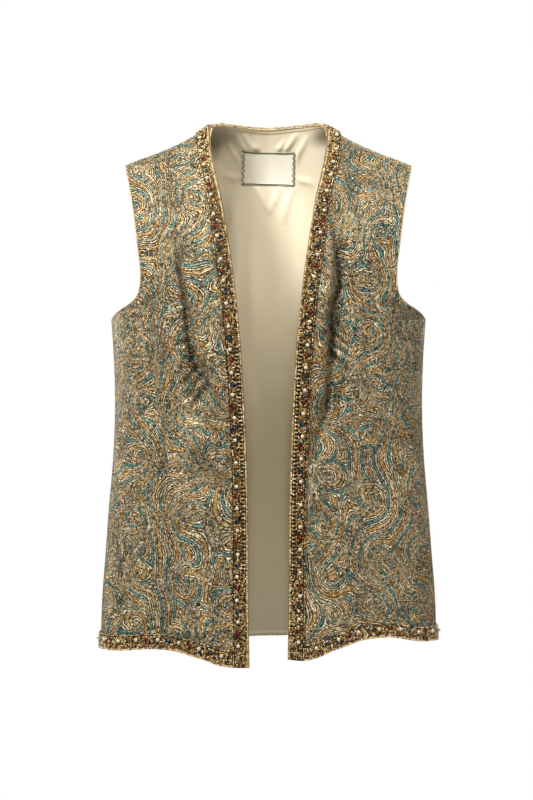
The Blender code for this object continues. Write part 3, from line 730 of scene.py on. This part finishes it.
def clothPiece(name, chart, node, settings):
    # one panel of brocade with the swirls laid on its flat coordinates
    swirl = swirlField(chart["flat"] + np.array(settings["shift"]), settings["wave"])
    # the swirl's third channel carries the crease depth, which sets the painted crease shade
    swirl[..., 2] = chart["depth"]
    part = {"points": chart["points"], "faces": outwardFaces(chart["points"], chart["normals"]),
            "swirl": swirl, "flat": chart["flat"]}
    piece = meshPiece(name, [part], [brocade, satin])
    thicken(piece, cut["clothThick"], 1)
    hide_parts(node)
    return piece


rightFront = clothPiece("rightFront", charts["right"], "front_right", panels["right"])
leftFront = clothPiece("leftFront", charts["left"], "front_left", panels["left"])
backPanel = clothPiece("backPanel", charts["back"], "back", panels["back"])
print("brocade panels made")


lining = {
    "behind": 1.8,         # distance in from the brocade's outer face
    "thick": 1.0,
    "foot": 676.5,         # drop of its lower edge, a little above the hem
    "label": (37, 47, 22.5),    # half-width, drop and half-height that the folds keep off
    "dusk": (0.4, 150, 240),    # painted shade towards the hem: its share, where it starts and over what drop
    # soft folds that lift the satin off the back, as (lift, half-width, path of (across, drop))
    "folds": [
        (3.0, 7.0, [(-16, 100), (-24, 170), (-22, 280)]),
        (2.4, 6.0, [(14, 96), (20, 150), (14, 240)]),
        (2.6, 7.0, [(40, 100), (46, 170), (36, 260)]),
        (3.2, 8.0, [(-70, 96), (-58, 150), (-52, 230)]),
        (2.0, 10.0, [(-34, 330), (-30, 480), (-32, 640)]),
        (1.8, 9.0, [(20, 400), (24, 540), (18, 660)]),
        (3.7, 2.4, [(-44, 12), (-34, 26), (-27, 36)]),
        (3.8, 2.1, [(-32, 10), (-22, 24), (-15, 36)]),
        (3.3, 2.0, [(-20, 20), (-13, 28), (-7, 36)]),
        (3.3, 2.0, [(22, 16), (13, 26), (4, 35)]),
        (3.9, 2.3, [(38, 10), (26, 24), (17, 36)]),
        (3.5, 2.5, [(52, 16), (42, 32), (38, 42)]),
        (3.5, 2.4, [(-56, 22), (-46, 36), (-40, 46)]),
        (2.6, 2.7, [(-62, 60), (-48, 62), (-40, 60)]),
        (2.4, 2.7, [(60, 70), (48, 66), (40, 64)]),
        (3.2, 3.6, [(-34, 74), (-42, 100), (-56, 140)]),
        (3.0, 3.4, [(-16, 74), (-9, 88), (0, 104)]),
        (2.2, 3.2, [(16, 72), (10, 88), (2, 104)]),
        (2.3, 3.6, [(34, 74), (26, 94), (20, 118)]),
    ],
    # patches of painted shade where the satin turns under the shoulders, and beside the front braids:
    # shades as (across, height, half-width, half-height, share)
    "shades": [
        (-66, -11, 26, 15, 0.92), (-74, -30, 14, 13, 0.7), (73, -13, 17, 12, 0.92),
        (-58, -112, 10, 30, 0.4), (-50, -160, 9, 40, 0.3), (-42, -520, 17, 230, 0.36),
        (39, -520, 16, 220, 0.36), (44, -300, 7, 60, 0.3),
    ],
}
liningDrops = np.concatenate([[0, 1.5, 4], np.linspace(6, 150, 64), np.linspace(154, lining["foot"], 110)])
liningChart = panelChart("back", liningDrops, 200)


def liningPiece(chart):
    # the back's own form, set in by the cloth and by folds that stop at the label and both ends
    across, height = chart["points"][..., 0], chart["points"][..., 2]
    drops = chart["drops"]
    rowShare = smoothStep(drops / 9) * smoothStep((lining["foot"] - drops) / 20)
    halfWide, down, halfHigh = lining["label"]
    fromLabel = np.hypot(np.maximum(np.abs(across) - halfWide, 0),
                         np.maximum(np.abs(height + down) - halfHigh, 0))
    lift = foldHeight(lining["folds"], across, drops[:, None]) * smoothStep(fromLabel / 3)
    depth = lining["behind"] + lining["thick"] + lift * rowShare[:, None]
    points = chart["points"] - chart["normals"] * depth[..., None]
    # painted shade: darker towards the hem, and in soft patches under the shoulders and beside the front
    # braids
    share, start, over = lining["dusk"]
    paintedShade = share * smoothStep((-start - points[..., 2]) / over)
    for x, z, wide, high, share in lining["shades"]:
        away = ((points[..., 0] - x) / wide) ** 2 + ((points[..., 2] - z) / high) ** 2
        paintedShade = paintedShade + share * np.exp(-(away**1.4))
    part = {"points": points, "faces": outwardFaces(points, -chart["normals"]), "flat": chart["flat"],
            "paintedShade": paintedShade}
    piece = meshPiece("backLining", [part], [satin])
    thicken(piece, lining["thick"])
    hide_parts("back_lining")
    return piece


backLining = liningPiece(liningChart)
print("lining made")


braid = {
    "wide": 20.0,
    "lift": 0.4,            # under side above the cloth
    "base": 0.9,            # thickness of the strip that carries the beads
    "pearlPitch": 28.0,
    "pearlLine": 13.0,      # distance of pearls and stones from the edge
    "pearl": 2.6,
    "pearlStray": (0.9, 0.6),   # how far a pearl strays along and across, and a stone
    "stoneStray": (1.2, 0.7),
    "stone": 2.1,
    "seed": 1.05,
    "seedPitch": 2.15,
    "seedBand": (2.9, 17.6),    # distances from the edge between which seed beads lie
    # seed bead colours, each with its share
    "seedColours": [("#8E6C38", 0.2), ("#BC9656", 0.16), ("#5A3B18", 0.18), ("#EDD9AA", 0.13),
                    ("#1E1409", 0.16), ("#A67C42", 0.09), ("#CDB27C", 0.08)],
    "paleColours": ["#D9C69A", "#B39660", "#7A6036"],
    "stoneColours": ["#1F4F5C", "#8C2A0C"],
    "pearlColour": "#C0B495",
    "nestColour": "#150E07",    # the dark beads on which a stone sits
    "cordColour": "#7D6840",
    "cordRadius": 0.95,
    "cordStart": 19.0,          # below the rounded corner at the shoulder
    "bars": (325.0, 612.0),     # stretch of the front edge with picots and bars
    # rows of beads as (distance from the edge, pitch, half-sizes along, across and up, stray,
    # shares of the pale colours or None for seed colours)
    "edgeRow": (1.2, 2.5, (1.3, 1.4, 1.2), 0.2, (0.4, 0.4, 0.2)),
    "cornerRow": (1.2, 2.1, (1.1, 1.1, 1.0), 0.3, None),
    "outerRow": (19.1, 2.3, (1.2, 0.9, 0.85), 0.2, None),
    "barRows": [(4.0, 4.8, (1.35, 1.2, 1.1), 0.3, (0.4, 0.35, 0.25)),
                (3.7, 2.4, (0.9, 0.9, 0.8), 0.5, None),
                (6.2, 4.8, (0.95, 1.7, 0.95), 0.25, (0.15, 0.35, 0.5)),
                (8.5, 2.4, (1.05, 1.0, 0.95), 0.35, None)],
    "hemRimRow": (1.5, 2.3, (1.15, 1.0, 0.9), 0.3, (0.35, 0.4, 0.25)),
}
seedShades = np.array([hexColour(colour) for colour, share in braid["seedColours"]])
seedShares = [share for colour, share in braid["seedColours"]]
paleShades = np.array([hexColour(colour) for colour in braid["paleColours"]])


def roundShape(level):
    # a ball of 20 or 80 triangles
    ball = bmesh.new()
    bmesh.ops.create_icosphere(ball, subdivisions=level, radius=1)
    points = np.array([vertex.co for vertex in ball.verts])
    faces = [[vertex.index for vertex in face.verts] for face in ball.faces]
    ball.free()
    return points, faces


def cutStone():
    # an eight-sided stone: a girdle, a sloping crown and a flat table
    turn = np.linspace(0, fullTurn, 8, endpoint=False)
    rings = [np.stack([np.cos(turn) * r, np.sin(turn) * r, 0 * turn + z], -1)
             for r, z in ((0.95, -0.5), (1.0, 0.1), (0.6, 0.7))]
    faces = [[i * 8 + j, i * 8 + (j + 1) % 8, i * 8 + 8 + (j + 1) % 8, i * 8 + 8 + j]
             for i in range(2) for j in range(8)]
    return np.concatenate(rings), faces + [list(range(16, 24)), list(range(7, -1, -1))]


def scatter(shape, centres, axes, colours, slot, smooth=True):
    # copies of one small shape, each with its centre, its own three axes and its own colour
    points, faces = shape
    placed = centres[:, None] + np.einsum("pk,nkc->npc", points, axes)
    copies = np.arange(len(centres)) * len(points)
    joined = [[corner + copy for corner in face] for copy in copies.tolist() for face in faces]
    tone = np.broadcast_to(np.asarray(colours)[:, None], placed.shape[:2] + (4,))
    return {"points": placed.reshape(-1, 3), "faces": joined, "tone": tone.reshape(-1, 4),
            "slot": slot, "smooth": smooth}


def tube(line, normals, radius, colour, slot, sides=6):
    # a round cord along a line: each ring is the line's point plus a turn of side and normal
    along = np.gradient(line, axis=0)
    side = np.cross(along, normals)
    side /= np.linalg.norm(side, axis=1, keepdims=True)
    turn = np.linspace(0, fullTurn, sides, endpoint=False)
    ring = side[:, None] * np.cos(turn)[:, None] + normals[:, None] * np.sin(turn)[:, None]
    points = line[:, None] + ring * radius
    i = np.arange(len(line) - 1)[:, None] * sides
    j, k = np.arange(sides), (np.arange(sides) + 1) % sides
    quads = np.stack([i + j, i + j + sides, i + k + sides, i + k], -1).reshape(-1, 4).tolist()
    last = (len(line) - 1) * sides
    quads += [list(range(sides)), list(range(last + sides - 1, last - 1, -1))]
    first = points[0, 0] - line[0]
    wound = np.cross(points[1, 0] - points[0, 0], points[0, 1] - points[0, 0]) @ first
    if wound < 0:
        quads = [quad[::-1] for quad in quads]
    tone = np.tile(np.array(hexColour(colour)), (points.shape[0] * sides, 1))
    return {"points": points.reshape(-1, 3), "faces": quads, "tone": tone, "slot": slot}


def closedStrip(outer, inner, facing, slot=0):
    # a thin closed slab between two grids of points, wound so that its outer face looks that way
    rows, columns = outer.shape[:2]
    ring = np.concatenate([outer, inner[:, ::-1]], 1)
    around = 2 * columns
    i = np.arange(rows - 1)[:, None] * around
    j, k = np.arange(around), (np.arange(around) + 1) % around
    quads = np.stack([i + j, i + j + around, i + k + around, i + k], -1).reshape(-1, 4).tolist()
    for start, step in ((0, 1), ((rows - 1) * around, -1)):
        quads += [[start + j, start + around - 1 - j, start + around - 2 - j, start + j + 1][::step]
                  for j in range(columns - 1)]
    if np.cross(outer[1, 0] - outer[0, 0], outer[0, 1] - outer[0, 0]) @ facing < 0:
        quads = [quad[::-1] for quad in quads]
    return {"points": ring.reshape(-1, 3), "faces": quads, "slot": slot}


def stripOf(points, normals):
    # a braid's ground: rows along its edge, columns across its width
    steps = np.linalg.norm(np.diff(points[:, 0], axis=0), axis=1)
    return {"points": points, "normals": normals, "run": np.concatenate([[0], np.cumsum(steps)])}


def onStrip(strip, along, across):
    # point, normal and direction at a distance along the edge and a distance across the braid
    rows, columns = strip["points"].shape[:2]

    def sample(values, at):
        # the mean of the four nearest grid points, each weighted by how near it is
        row = np.clip(np.interp(at, strip["run"], np.arange(rows)), 0, rows - 1.001)
        column = np.clip(across / braid["wide"] * (columns - 1), 0, columns - 1.001)
        i, j = row.astype(int), column.astype(int)
        u, v = (row - i)[:, None], (column - j)[:, None]
        near = values[i, j] * (1 - v) + values[i, j + 1] * v
        return near * (1 - u) + (values[i + 1, j] * (1 - v) + values[i + 1, j + 1] * v) * u

    point, normal = sample(strip["points"], along), sample(strip["normals"], along)
    ahead = sample(strip["points"], np.minimum(along + 1, strip["run"][-1]))
    ahead = ahead - sample(strip["points"], np.maximum(along - 1, 0))
    normal /= np.linalg.norm(normal, axis=1, keepdims=True)
    ahead -= normal * (ahead * normal).sum(1, keepdims=True)
    ahead /= np.linalg.norm(ahead, axis=1, keepdims=True)
    return point, normal, ahead


def beadsOn(strip, along, across, rise, sizes, shape, colours, slot, smooth=True):
    # beads at these places: sizes are the half-lengths along, across and up
    point, normal, ahead = onStrip(strip, along, across)
    side = np.cross(normal, ahead)
    axes = np.stack([ahead * sizes[0], side * sizes[1], normal * sizes[2]], 1)
    return scatter(shape, point + normal * rise, axes, colours, slot, smooth)


def seedPlaces(strip, low, high, keepOff, rng):
    # places of small beads in staggered rows, jittered, and clear of the pearls and stones
    pitch, length = braid["seedPitch"], strip["run"][-1]
    lines = np.arange(low, high + 0.01, pitch * 0.9)
    along = np.arange(1, length - 0.8, pitch)
    s, w = np.meshgrid(along, lines)
    s = s + (np.arange(len(lines))[:, None] % 2) * pitch / 2 + rng.uniform(-0.45, 0.45, s.shape)
    w = w + rng.uniform(-0.35, 0.35, w.shape)
    away = np.hypot(s[..., None] - keepOff[:, 0], w[..., None] - keepOff[:, 1]) - keepOff[:, 2]
    free = (away.min(-1) > 0.75) & (s < length - 0.8)
    return s[free], w[free]


def beadRow(strip, row, top, rng, reach=(0, 9999)):
    # one row of beads along the braid, each a little off its place and of its own shade
    across, pitch, sizes, stray, paleShares = row
    shades, shares = (seedShades, seedShares) if paleShares is None else (paleShades, paleShares)
    start, end = max(reach[0], 0), min(reach[1], strip["run"][-1])
    places = np.arange(start + pitch / 2, end - pitch / 3, pitch)
    places = places + rng.uniform(-stray, stray, places.shape) * 0.6
    side = across + rng.uniform(-stray, stray, places.shape)
    chosen = shades[rng.choice(len(shades), len(places), p=shares)]
    return beadsOn(strip, places, side, top + sizes[2] * 0.75, sizes, roundShape(1), chosen, 2)


def pearlsAndStones(strip, top, rng):
    # pearls at an even pitch with a stone on a dark nest midway between, each a little off its
    # place; also the places that the seed beads keep off, as (along, across, radius)
    pitch, line, r = braid["pearlPitch"], braid["pearlLine"], braid["stone"]
    length = strip["run"][-1]
    count = int(length // pitch)
    pearls = (length - (count - 1) * pitch) / 2 + pitch * np.arange(count)
    stones = (pearls[:-1] + pearls[1:]) / 2
    alongStray, acrossStray = braid["pearlStray"]
    pearls = pearls + rng.uniform(-alongStray, alongStray, count)
    side = line + rng.uniform(-acrossStray, acrossStray, count)
    white = np.tile(hexColour(braid["pearlColour"]), (count, 1))
    parts = [beadsOn(strip, pearls, side, top + 1.9, (braid["pearl"],) * 3, roundShape(2), white, 3)]
    keepOff = np.stack([pearls, side, 0 * pearls + braid["pearl"] - 0.3], -1)
    alongStray, acrossStray = braid["stoneStray"]
    stones = stones + rng.uniform(-alongStray, alongStray, stones.shape)
    side = line + rng.uniform(-acrossStray, acrossStray, stones.shape)
    shades = np.array([hexColour(colour) for colour in braid["stoneColours"]])
    chosen = shades[np.arange(len(stones)) % 2]
    parts.append(beadsOn(strip, stones, side, top + 0.9, (r, r * 0.85, 1.4), cutStone(), chosen, 4, False))
    dark = np.tile(hexColour(braid["nestColour"]), (len(stones), 1))
    nest = (r + 0.9, r + 0.8, 0.6)
    parts.append(beadsOn(strip, stones, side, top + 0.2, nest, roundShape(2), dark, 2))
    return parts, np.concatenate([keepOff, np.stack([stones, side, 0 * stones + r + 0.2], -1)])


def braidPiece(name, strip, node, seed, frontEdge=False, extra=()):
    # one length of braid: its base strip, edge rows, pearls, stones and seed beads. A front edge
    # also has a cord, and on one stretch picots and bars with dark holes between the bars.
    rng = np.random.default_rng(seed)
    length = strip["run"][-1]
    top = braid["lift"] + braid["base"]
    ground = strip["points"] + strip["normals"] * top
    under = strip["points"] + strip["normals"] * braid["lift"]
    parts = [closedStrip(ground, under, strip["normals"][0, 0])]
    first = braid["cordStart"] if frontEdge else 0.0
    parts.append(beadRow(strip, braid["edgeRow"], top, rng, (first, 9999)))
    if frontEdge:
        parts.append(beadRow(strip, braid["cornerRow"], top, rng, (0, first)))
    parts.append(beadRow(strip, braid["outerRow"], top, rng))
    if frontEdge:
        line = np.linspace(first, length, round(length / 2.4))
        point, normal, ahead = onStrip(strip, line, 0 * line + 0.5)
        cord = point + normal * (top - 0.2)
        parts.append(tube(cord, normal, braid["cordRadius"], braid["cordColour"], 1))
        parts += [beadRow(strip, row, top, rng, braid["bars"]) for row in braid["barRows"]]
    stoneParts, keepOff = pearlsAndStones(strip, top, rng)
    s, w = seedPlaces(strip, *braid["seedBand"], keepOff, rng)
    if frontEdge:
        clear = (w > 9.0) | (s < braid["bars"][0]) | (s > braid["bars"][1])
        s, w = s[clear], w[clear]
    shades = seedShades[rng.choice(len(seedShades), len(s), p=seedShares)]
    seeds = beadsOn(strip, s, w, top + 0.7, (braid["seed"],) * 3, roundShape(1), shades, 2)
    piece = meshPiece(name, parts + stoneParts + [seeds] + list(extra), braidMaterials)
    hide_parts(node)
    return piece


def beadMaterial(name, roughness, metallic, coat):
    # small beads of one finish, each with its own colour
    material, tree, shader = newMaterial(name, Roughness=roughness, Metallic=metallic, Coat_Weight=coat)
    tone = addNode(tree, "Attribute", attribute_name="tone").outputs["Color"]
    tree.links.new(tone, shader.inputs["Base Color"])
    return material


def threadMaterial(name, colours, ribScale):
    # close-wound thread: fine ribs and a soft change of colour along it
    material, tree, shader = newMaterial(name, Roughness=0.6, Metallic=0.15)
    place = addNode(tree, "TexCoord").outputs["Object"]
    cloud = addNode(tree, "TexNoise", {"Vector": place, "Scale": ribScale}).outputs["Fac"]
    stops = [(0.35, hexColour(colours[0])), (0.65, hexColour(colours[1]))]
    colour = addNode(tree, "ValToRGB", {0: cloud}, stops=stops).outputs[0]
    tree.links.new(colour, shader.inputs["Base Color"])
    bump = addNode(tree, "Bump", {"Height": cloud, "Strength": 0.8, "Distance": 0.0006}).outputs[0]
    tree.links.new(bump, shader.inputs["Normal"])
    return material


braidMaterials = [
    # dull wound thread, dark between the beads
    threadMaterial("dark bronze braid ground", ["#0E0905", "#3A2A14"], 500.0),
    # wound gilt thread with a soft broad shine
    beadMaterial("gilt cord", 0.5, 0.3, 0.0),
    # foil-lined glass: small sharp points of light on a warm body
    beadMaterial("gilt glass seed beads", 0.28, 0.55, 0.3),
    # lacquered glass: a pale body under a clear sheen
    beadMaterial("glass pearls", 0.22, 0.0, 0.6),
    # polished facets that flash one at a time
    beadMaterial("cut glass stones", 0.08, 0.2, 0.8),
]


def hemStrip(chart, first):
    # the panel's last eleven rows, 20 mm wide, from the hem upwards
    points, normals = (chart[key][-1:-12:-1, first:].transpose(1, 0, 2) for key in ("points", "normals"))
    return stripOf(points, normals)


def hemRim(chart):
    # a row of pale beads inside the back's hem, which shows between the fronts
    facing = -chart["normals"][-1]
    low = chart["points"][-1] + facing * 1.7
    up = chart["points"][-4] - chart["points"][-1]
    up /= np.linalg.norm(up, axis=1, keepdims=True)
    inside = stripOf(np.stack([low, low + up * 6], 1), np.stack([facing] * 2, 1))
    return beadRow(inside, braid["hemRimRow"], 0, np.random.default_rng(33))


# a front's first eleven columns are under its edge braid, 20 mm wide
for side, edgeSeed, hemSeed in (("right", 11, 21), ("left", 12, 22)):
    chart = charts[side]
    edgeStrip = stripOf(chart["points"][:, :11], chart["normals"][:, :11])
    braidPiece(side + "EdgeBraid", edgeStrip, "trim_front_" + side, edgeSeed, True)
    braidPiece(side + "HemBraid", hemStrip(chart, 10), "trim_hem_" + side, hemSeed)
chart = charts["back"]
braidPiece("backHemBraid", hemStrip(chart, 0), "trim_hem_back", 31, extra=[hemRim(chart)])


def surfaceAt(across, height):
    # drop and angle of the back at this place near the top
    top = topEdge("back", across)
    drop = (top - height) / (1 + top / cut["underarm"])
    return drop, angleAt(drop, across)


neckEdge = {
    "crowd": 1.35,          # how the strip's columns crowd towards its ends
    "swing": 2.5,           # how late the strip swings round to run down the shoulder
    "rimRow": (2.0, 2.0, (1.05, 0.95, 0.9), 0.15, None),
    "innerRimRow": (13.0, 2.0, (1.0, 0.9, 0.8), 0.15, (0.5, 0.35, 0.15)),
    "insideRow": (2.2, 2.1, (1.1, 0.9, 0.6), 0.2, (0.6, 0.3, 0.1)),
    "seamIn": 5.4,          # the seam line's distance from the edge
    "seamRadius": 0.34,
    "seamColour": "#BFA372",
    "cornerBead": 1.05,
}


def neckStrip():
    # the strip round the back neck: it leaves the neck's edge square in the middle, and runs
    # down the shoulder seams at its ends to meet the front braids
    half = cut["neckHalf"]
    turn = np.linspace(-1, 1, 61)
    across = half * np.sign(turn) * (1 - (1 - np.abs(turn)) ** neckEdge["crowd"])
    swing = np.abs(across / half) ** neckEdge["swing"]
    slope = (ridgeHeight(half + 16) - ridgeHeight(half)) / 16
    edgeHeight = topEdge("back", np.clip(across, 0.001 - half, half - 0.001))
    step = np.stack([np.sign(across) * swing, -(1 - swing) + slope * swing], -1)
    step /= np.linalg.norm(step, axis=1, keepdims=True)
    edge = clothPoint("back", *surfaceAt(across, edgeHeight))
    reach = np.full(across.shape, braid["wide"])
    for repeat in range(4):
        place = surfaceAt(across + reach * step[:, 0], edgeHeight + reach * step[:, 1])
        reach = reach * braid["wide"] / np.linalg.norm(clothPoint("back", *place) - edge, axis=1)
    share = np.linspace(0, 1, 11)
    wide = across[:, None] + reach[:, None] * step[:, :1] * share
    high = edgeHeight[:, None] + reach[:, None] * step[:, 1:] * share
    place = surfaceAt(wide, high)
    points = clothPoint("back", *place)
    normal = normalsOf(clothPoint, "back", *place)
    return stripOf(points, normal)


def neckRim(strip):
    # a bead row on the back neck's rim, a fine seam line inside it, and at each shoulder a small
    # rounded corner where the front braid turns into the neck braid
    rng = np.random.default_rng(43)
    edge, normal = strip["points"][:, 0], strip["normals"][:, 0]
    inwards = strip["points"][:, 1] - edge
    inwards /= np.linalg.norm(inwards, axis=1, keepdims=True)
    rim = {"points": np.stack([edge - normal * 0.4, edge - normal * 3.4], 1),
           "normals": np.stack([-inwards, -inwards], 1), "run": strip["run"]}
    inside = {"points": np.stack([edge - normal * 3.2, edge - normal * 3.2 + inwards * 6], 1),
              "normals": np.stack([-normal, -normal], 1), "run": strip["run"]}
    parts = [beadRow(rim, neckEdge["rimRow"], 0, rng), beadRow(rim, neckEdge["innerRimRow"], 0, rng),
             beadRow(inside, neckEdge["insideRow"], 0, rng)]
    seam = edge + inwards * neckEdge["seamIn"] - normal * 3.4
    parts.append(tube(seam, -normal, neckEdge["seamRadius"], neckEdge["seamColour"], 1, 5))
    for side, end in (("right", 0), ("left", -1)):
        chart = charts[side]
        rows = np.searchsorted(chart["drops"], 20)
        front = chart["points"][rows, 0]
        corner = edge[end]
        back = edge[9 if end == 0 else -10]
        t = np.linspace(0, 1, 15)[:, None]
        curve = (1 - t) ** 2 * front + 2 * t * (1 - t) * corner + t * t * back
        ahead, after = front + (corner - front) * t * 2, corner + (back - corner) * (t * 2 - 1)
        outer = np.where(t < 0.5, ahead, after)
        facing = np.cross(back - corner, front - corner)
        facing /= np.linalg.norm(facing)
        facing = facing * (-1 if facing[1] > 0 else 1)
        layers = outer[:, None] + (curve - outer)[:, None] * np.array([0, 0.5, 1.0])[None, :, None]
        parts.append(closedStrip(layers + facing * 1.2, layers - facing * 1.0, facing))
        spots = np.concatenate([layers.reshape(-1, 3), (curve[:-1] + curve[1:]) / 2,
                                (layers[:-1, 1] + layers[1:, 1]) / 2])
        axes = np.tile(np.eye(3) * neckEdge["cornerBead"], (len(spots), 1, 1))
        shades = seedShades[rng.choice(len(seedShades), len(spots), p=seedShares)]
        parts.append(scatter(roundShape(1), spots + facing * 1.5, axes, shades, 2))
        shades = paleShades[rng.choice(3, len(curve), p=(0.5, 0.35, 0.15))]
        parts.append(scatter(roundShape(1), curve + facing * 1.9, axes[:len(curve)] * 1.1, shades, 2))
    return parts


neck = neckStrip()
braidPiece("neckBraid", neck, "trim_neck", 41, extra=neckRim(neck))
print("braids made")


armhole = {"radius": 0.9, "sunk": 0.6, "colour": "#B9A47A"}


def armholeEdges():
    # a fine cord sewn round each armhole, front and back
    parts = []
    for name, ends in (("right", (-1,)), ("left", (-1,)), ("back", (0, -1))):
        chart = charts[name]
        rows = chart["drops"] <= cut["underarm"]
        for end in ends:
            normals = chart["normals"][rows, end]
            line = chart["points"][rows, end] - normals * armhole["sunk"]
            parts.append(tube(line, normals, armhole["radius"], armhole["colour"], 0))
    # wound cotton, nearly matt
    return meshPiece("armholeCords", parts, [beadMaterial("beige edge cord", 0.6, 0.1, 0.0)])


armholeCords = armholeEdges()


label = {
    "wide": 72.0, "high": 43.0, "thick": 0.7,
    "down": 47.0,           # drop of its middle
    "depth": 3.5,           # in from the back's outer face
    "tilt": 0.028,          # turn in radians
    "cloth": "#DFD8C8",
    "thread": "#26382F",
    "lineRadius": 0.62,
    "stitchRadius": 0.6,
    "lines": 20.4,          # the dark lines' distance from the middle
    "stitches": 34.9,       # the zigzags' distance from the middle
    "zigzag": 1.6,          # half the zigzag's width
}


def labelPiece():
    # a woven label on the lining, left bare, with a dark line at the top and the foot and
    # zigzag stitches down its sides
    columns, rows = 25, 16
    u, v = np.meshgrid(np.linspace(-0.5, 0.5, columns) * label["wide"],
                       np.linspace(0.5, -0.5, rows) * label["high"])

    def inside(u, v, depth):
        # the label's own places turned by its tilt, laid on the back's smooth form and set in
        across, height = u + v * label["tilt"], v - label["down"] - u * label["tilt"]
        place = surfaceAt(across, height)
        normal = normalsOf(basePoint, "back", *place)
        return basePoint("back", *place) - normal * depth, -normal

    outer, facing = inside(u, v, label["depth"] + label["thick"])
    inner, facing = inside(u, v, label["depth"])
    parts = [closedStrip(outer, inner, facing[0, 0])]
    onTop = label["depth"] + label["thick"] + 0.1
    for v0 in (label["lines"], -label["lines"]):
        across = np.linspace(-35, 35, 60)
        wavy = v0 + 0.35 * np.sin(across / 7 + v0)
        line, normal = inside(across, wavy, onTop)
        parts.append(tube(line, normal, label["lineRadius"], label["thread"], 1, 5))
    for u0 in (-label["stitches"], label["stitches"]):
        down = np.linspace(-22, 22, 13)
        across = u0 + label["zigzag"] * (np.arange(13) % 2 * 2 - 1)
        line, normal = inside(across, down, onTop)
        parts.append(tube(line, normal, label["stitchRadius"], label["thread"], 1, 5))
    # woven polyester: matt, with a fine even grain
    woven, tree, shader = newMaterial("woven polyester label", Roughness=0.7,
                                      Base_Color=hexColour(label["cloth"]))
    place = addNode(tree, "TexCoord").outputs["Object"]
    weave = addNode(tree, "TexNoise", {"Vector": place, "Scale": 1400.0}).outputs["Fac"]
    bump = addNode(tree, "Bump", {"Height": weave, "Strength": 0.4, "Distance": 0.0003}).outputs[0]
    tree.links.new(bump, shader.inputs["Normal"])
    thread = beadMaterial("dark green border thread", 0.7, 0.0, 0.0)
    piece = meshPiece("wovenLabel", parts, [woven, thread])
    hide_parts("label")
    return piece


wovenLabel = labelPiece()
print("label and armhole edges made")


view = {"distance": 2.2, "height": -0.3567, "across": -0.0026, "lens": 76.74}
cameraData = bpy.data.cameras.new("camera")
cameraData.lens, cameraData.sensor_width = view["lens"], 36.0
cameraData.clip_start, cameraData.clip_end = 0.05, 50.0
camera = bpy.data.objects.new("camera", cameraData)
camera.location = (view["across"], -view["distance"], view["height"])
camera.rotation_euler = (quarterTurn, 0, 0)
bpy.context.scene.collection.objects.link(camera)
bpy.context.scene.camera = camera
bpy.context.scene.view_settings.view_transform = "Standard"

studio = {
    "lamps": [
        # place, aim, size, power in watts
        ((-1.0, -1.25, 1.0), (-0.05, 0.0, -0.22), 0.5, 48.0),
        ((-0.2, -1.0, 1.1), (0.0, 0.0, -0.05), 1.3, 29.0),
        ((2.2, -0.5, 0.1), (0.0, 0.0, -0.3), 1.4, 22.0),
        ((0.7, 2.0, 0.7), (0.0, 0.0, -0.35), 1.9, 62.0),
        ((-1.6, 1.4, 0.2), (0.0, 0.0, -0.3), 1.2, 20.0),
    ],
    "surround": 0.1,
    "floorHeight": -1.25,
}
for number, (place, aim, size, power) in enumerate(studio["lamps"]):
    lampData = bpy.data.lights.new(f"lamp{number}", "AREA")
    lampData.energy, lampData.size = power, size
    lamp = bpy.data.objects.new(f"lamp{number}", lampData)
    lamp.location = place
    lamp.rotation_euler = (Vector(aim) - Vector(place)).to_track_quat("-Z", "Y").to_euler()
    bpy.context.scene.collection.objects.link(lamp)

world = bpy.data.worlds.new("studio")
world.use_nodes = True
worldTree = world.node_tree
sight = addNode(worldTree, "LightPath").outputs["Is Camera Ray"]
glow = addNode(worldTree, "MapRange", {0: sight, 3: studio["surround"], 4: 1.0}).outputs[0]
worldTree.links.new(glow, worldTree.nodes["Background"].inputs["Strength"])
worldTree.nodes["Background"].inputs["Color"].default_value = (1, 1, 1, 1)
bpy.context.scene.world = world

floorMesh = bpy.data.meshes.new("floor")
floorMesh.from_pydata([(-6, -6, 0), (6, -6, 0), (6, 6, 0), (-6, 6, 0)], [], [(0, 1, 2, 3)])
floor = bpy.data.objects.new("floor", floorMesh)
floor.location = (0, 0, studio["floorHeight"])
bpy.context.scene.collection.objects.link(floor)
paper, paperTree, paperShader = newMaterial("pale paper floor", Roughness=0.8,
                                            Base_Color=hexColour("#F4F2EE"))
spread = addNode(paperTree, "TexCoord").outputs["Object"]
away = addNode(paperTree, "VectorMath", {0: spread}, operation="LENGTH").outputs["Value"]
fade = addNode(paperTree, "MapRange", {0: away, 1: 0.5, 2: 1.5}).outputs[0]
seen = addNode(paperTree, "LightPath").outputs["Is Camera Ray"]
bright = addNode(paperTree, "MapRange", {0: seen, 3: 0.12, 4: 1.0}).outputs[0]
white = addNode(paperTree, "Emission", {"Color": (1, 1, 1, 1), "Strength": bright}).outputs[0]
mixed = addNode(paperTree, "MixShader", {0: fade, 1: paperShader.outputs[0], 2: white}).outputs[0]
paperTree.links.new(mixed, paperTree.nodes["Material Output"].inputs["Surface"])
floorMesh.materials.append(paper)
print("camera, light and floor set")


outside = [(rightFront, charts["right"], ["rightEdgeBraid", "rightHemBraid"]),
           (leftFront, charts["left"], ["leftEdgeBraid", "leftHemBraid"]),
           (backPanel, charts["back"], ["backHemBraid", "neckBraid", "armholeCords"])]
for piece, chart, trims in outside:
    trims = [bpy.data.objects[trim] for trim in trims]
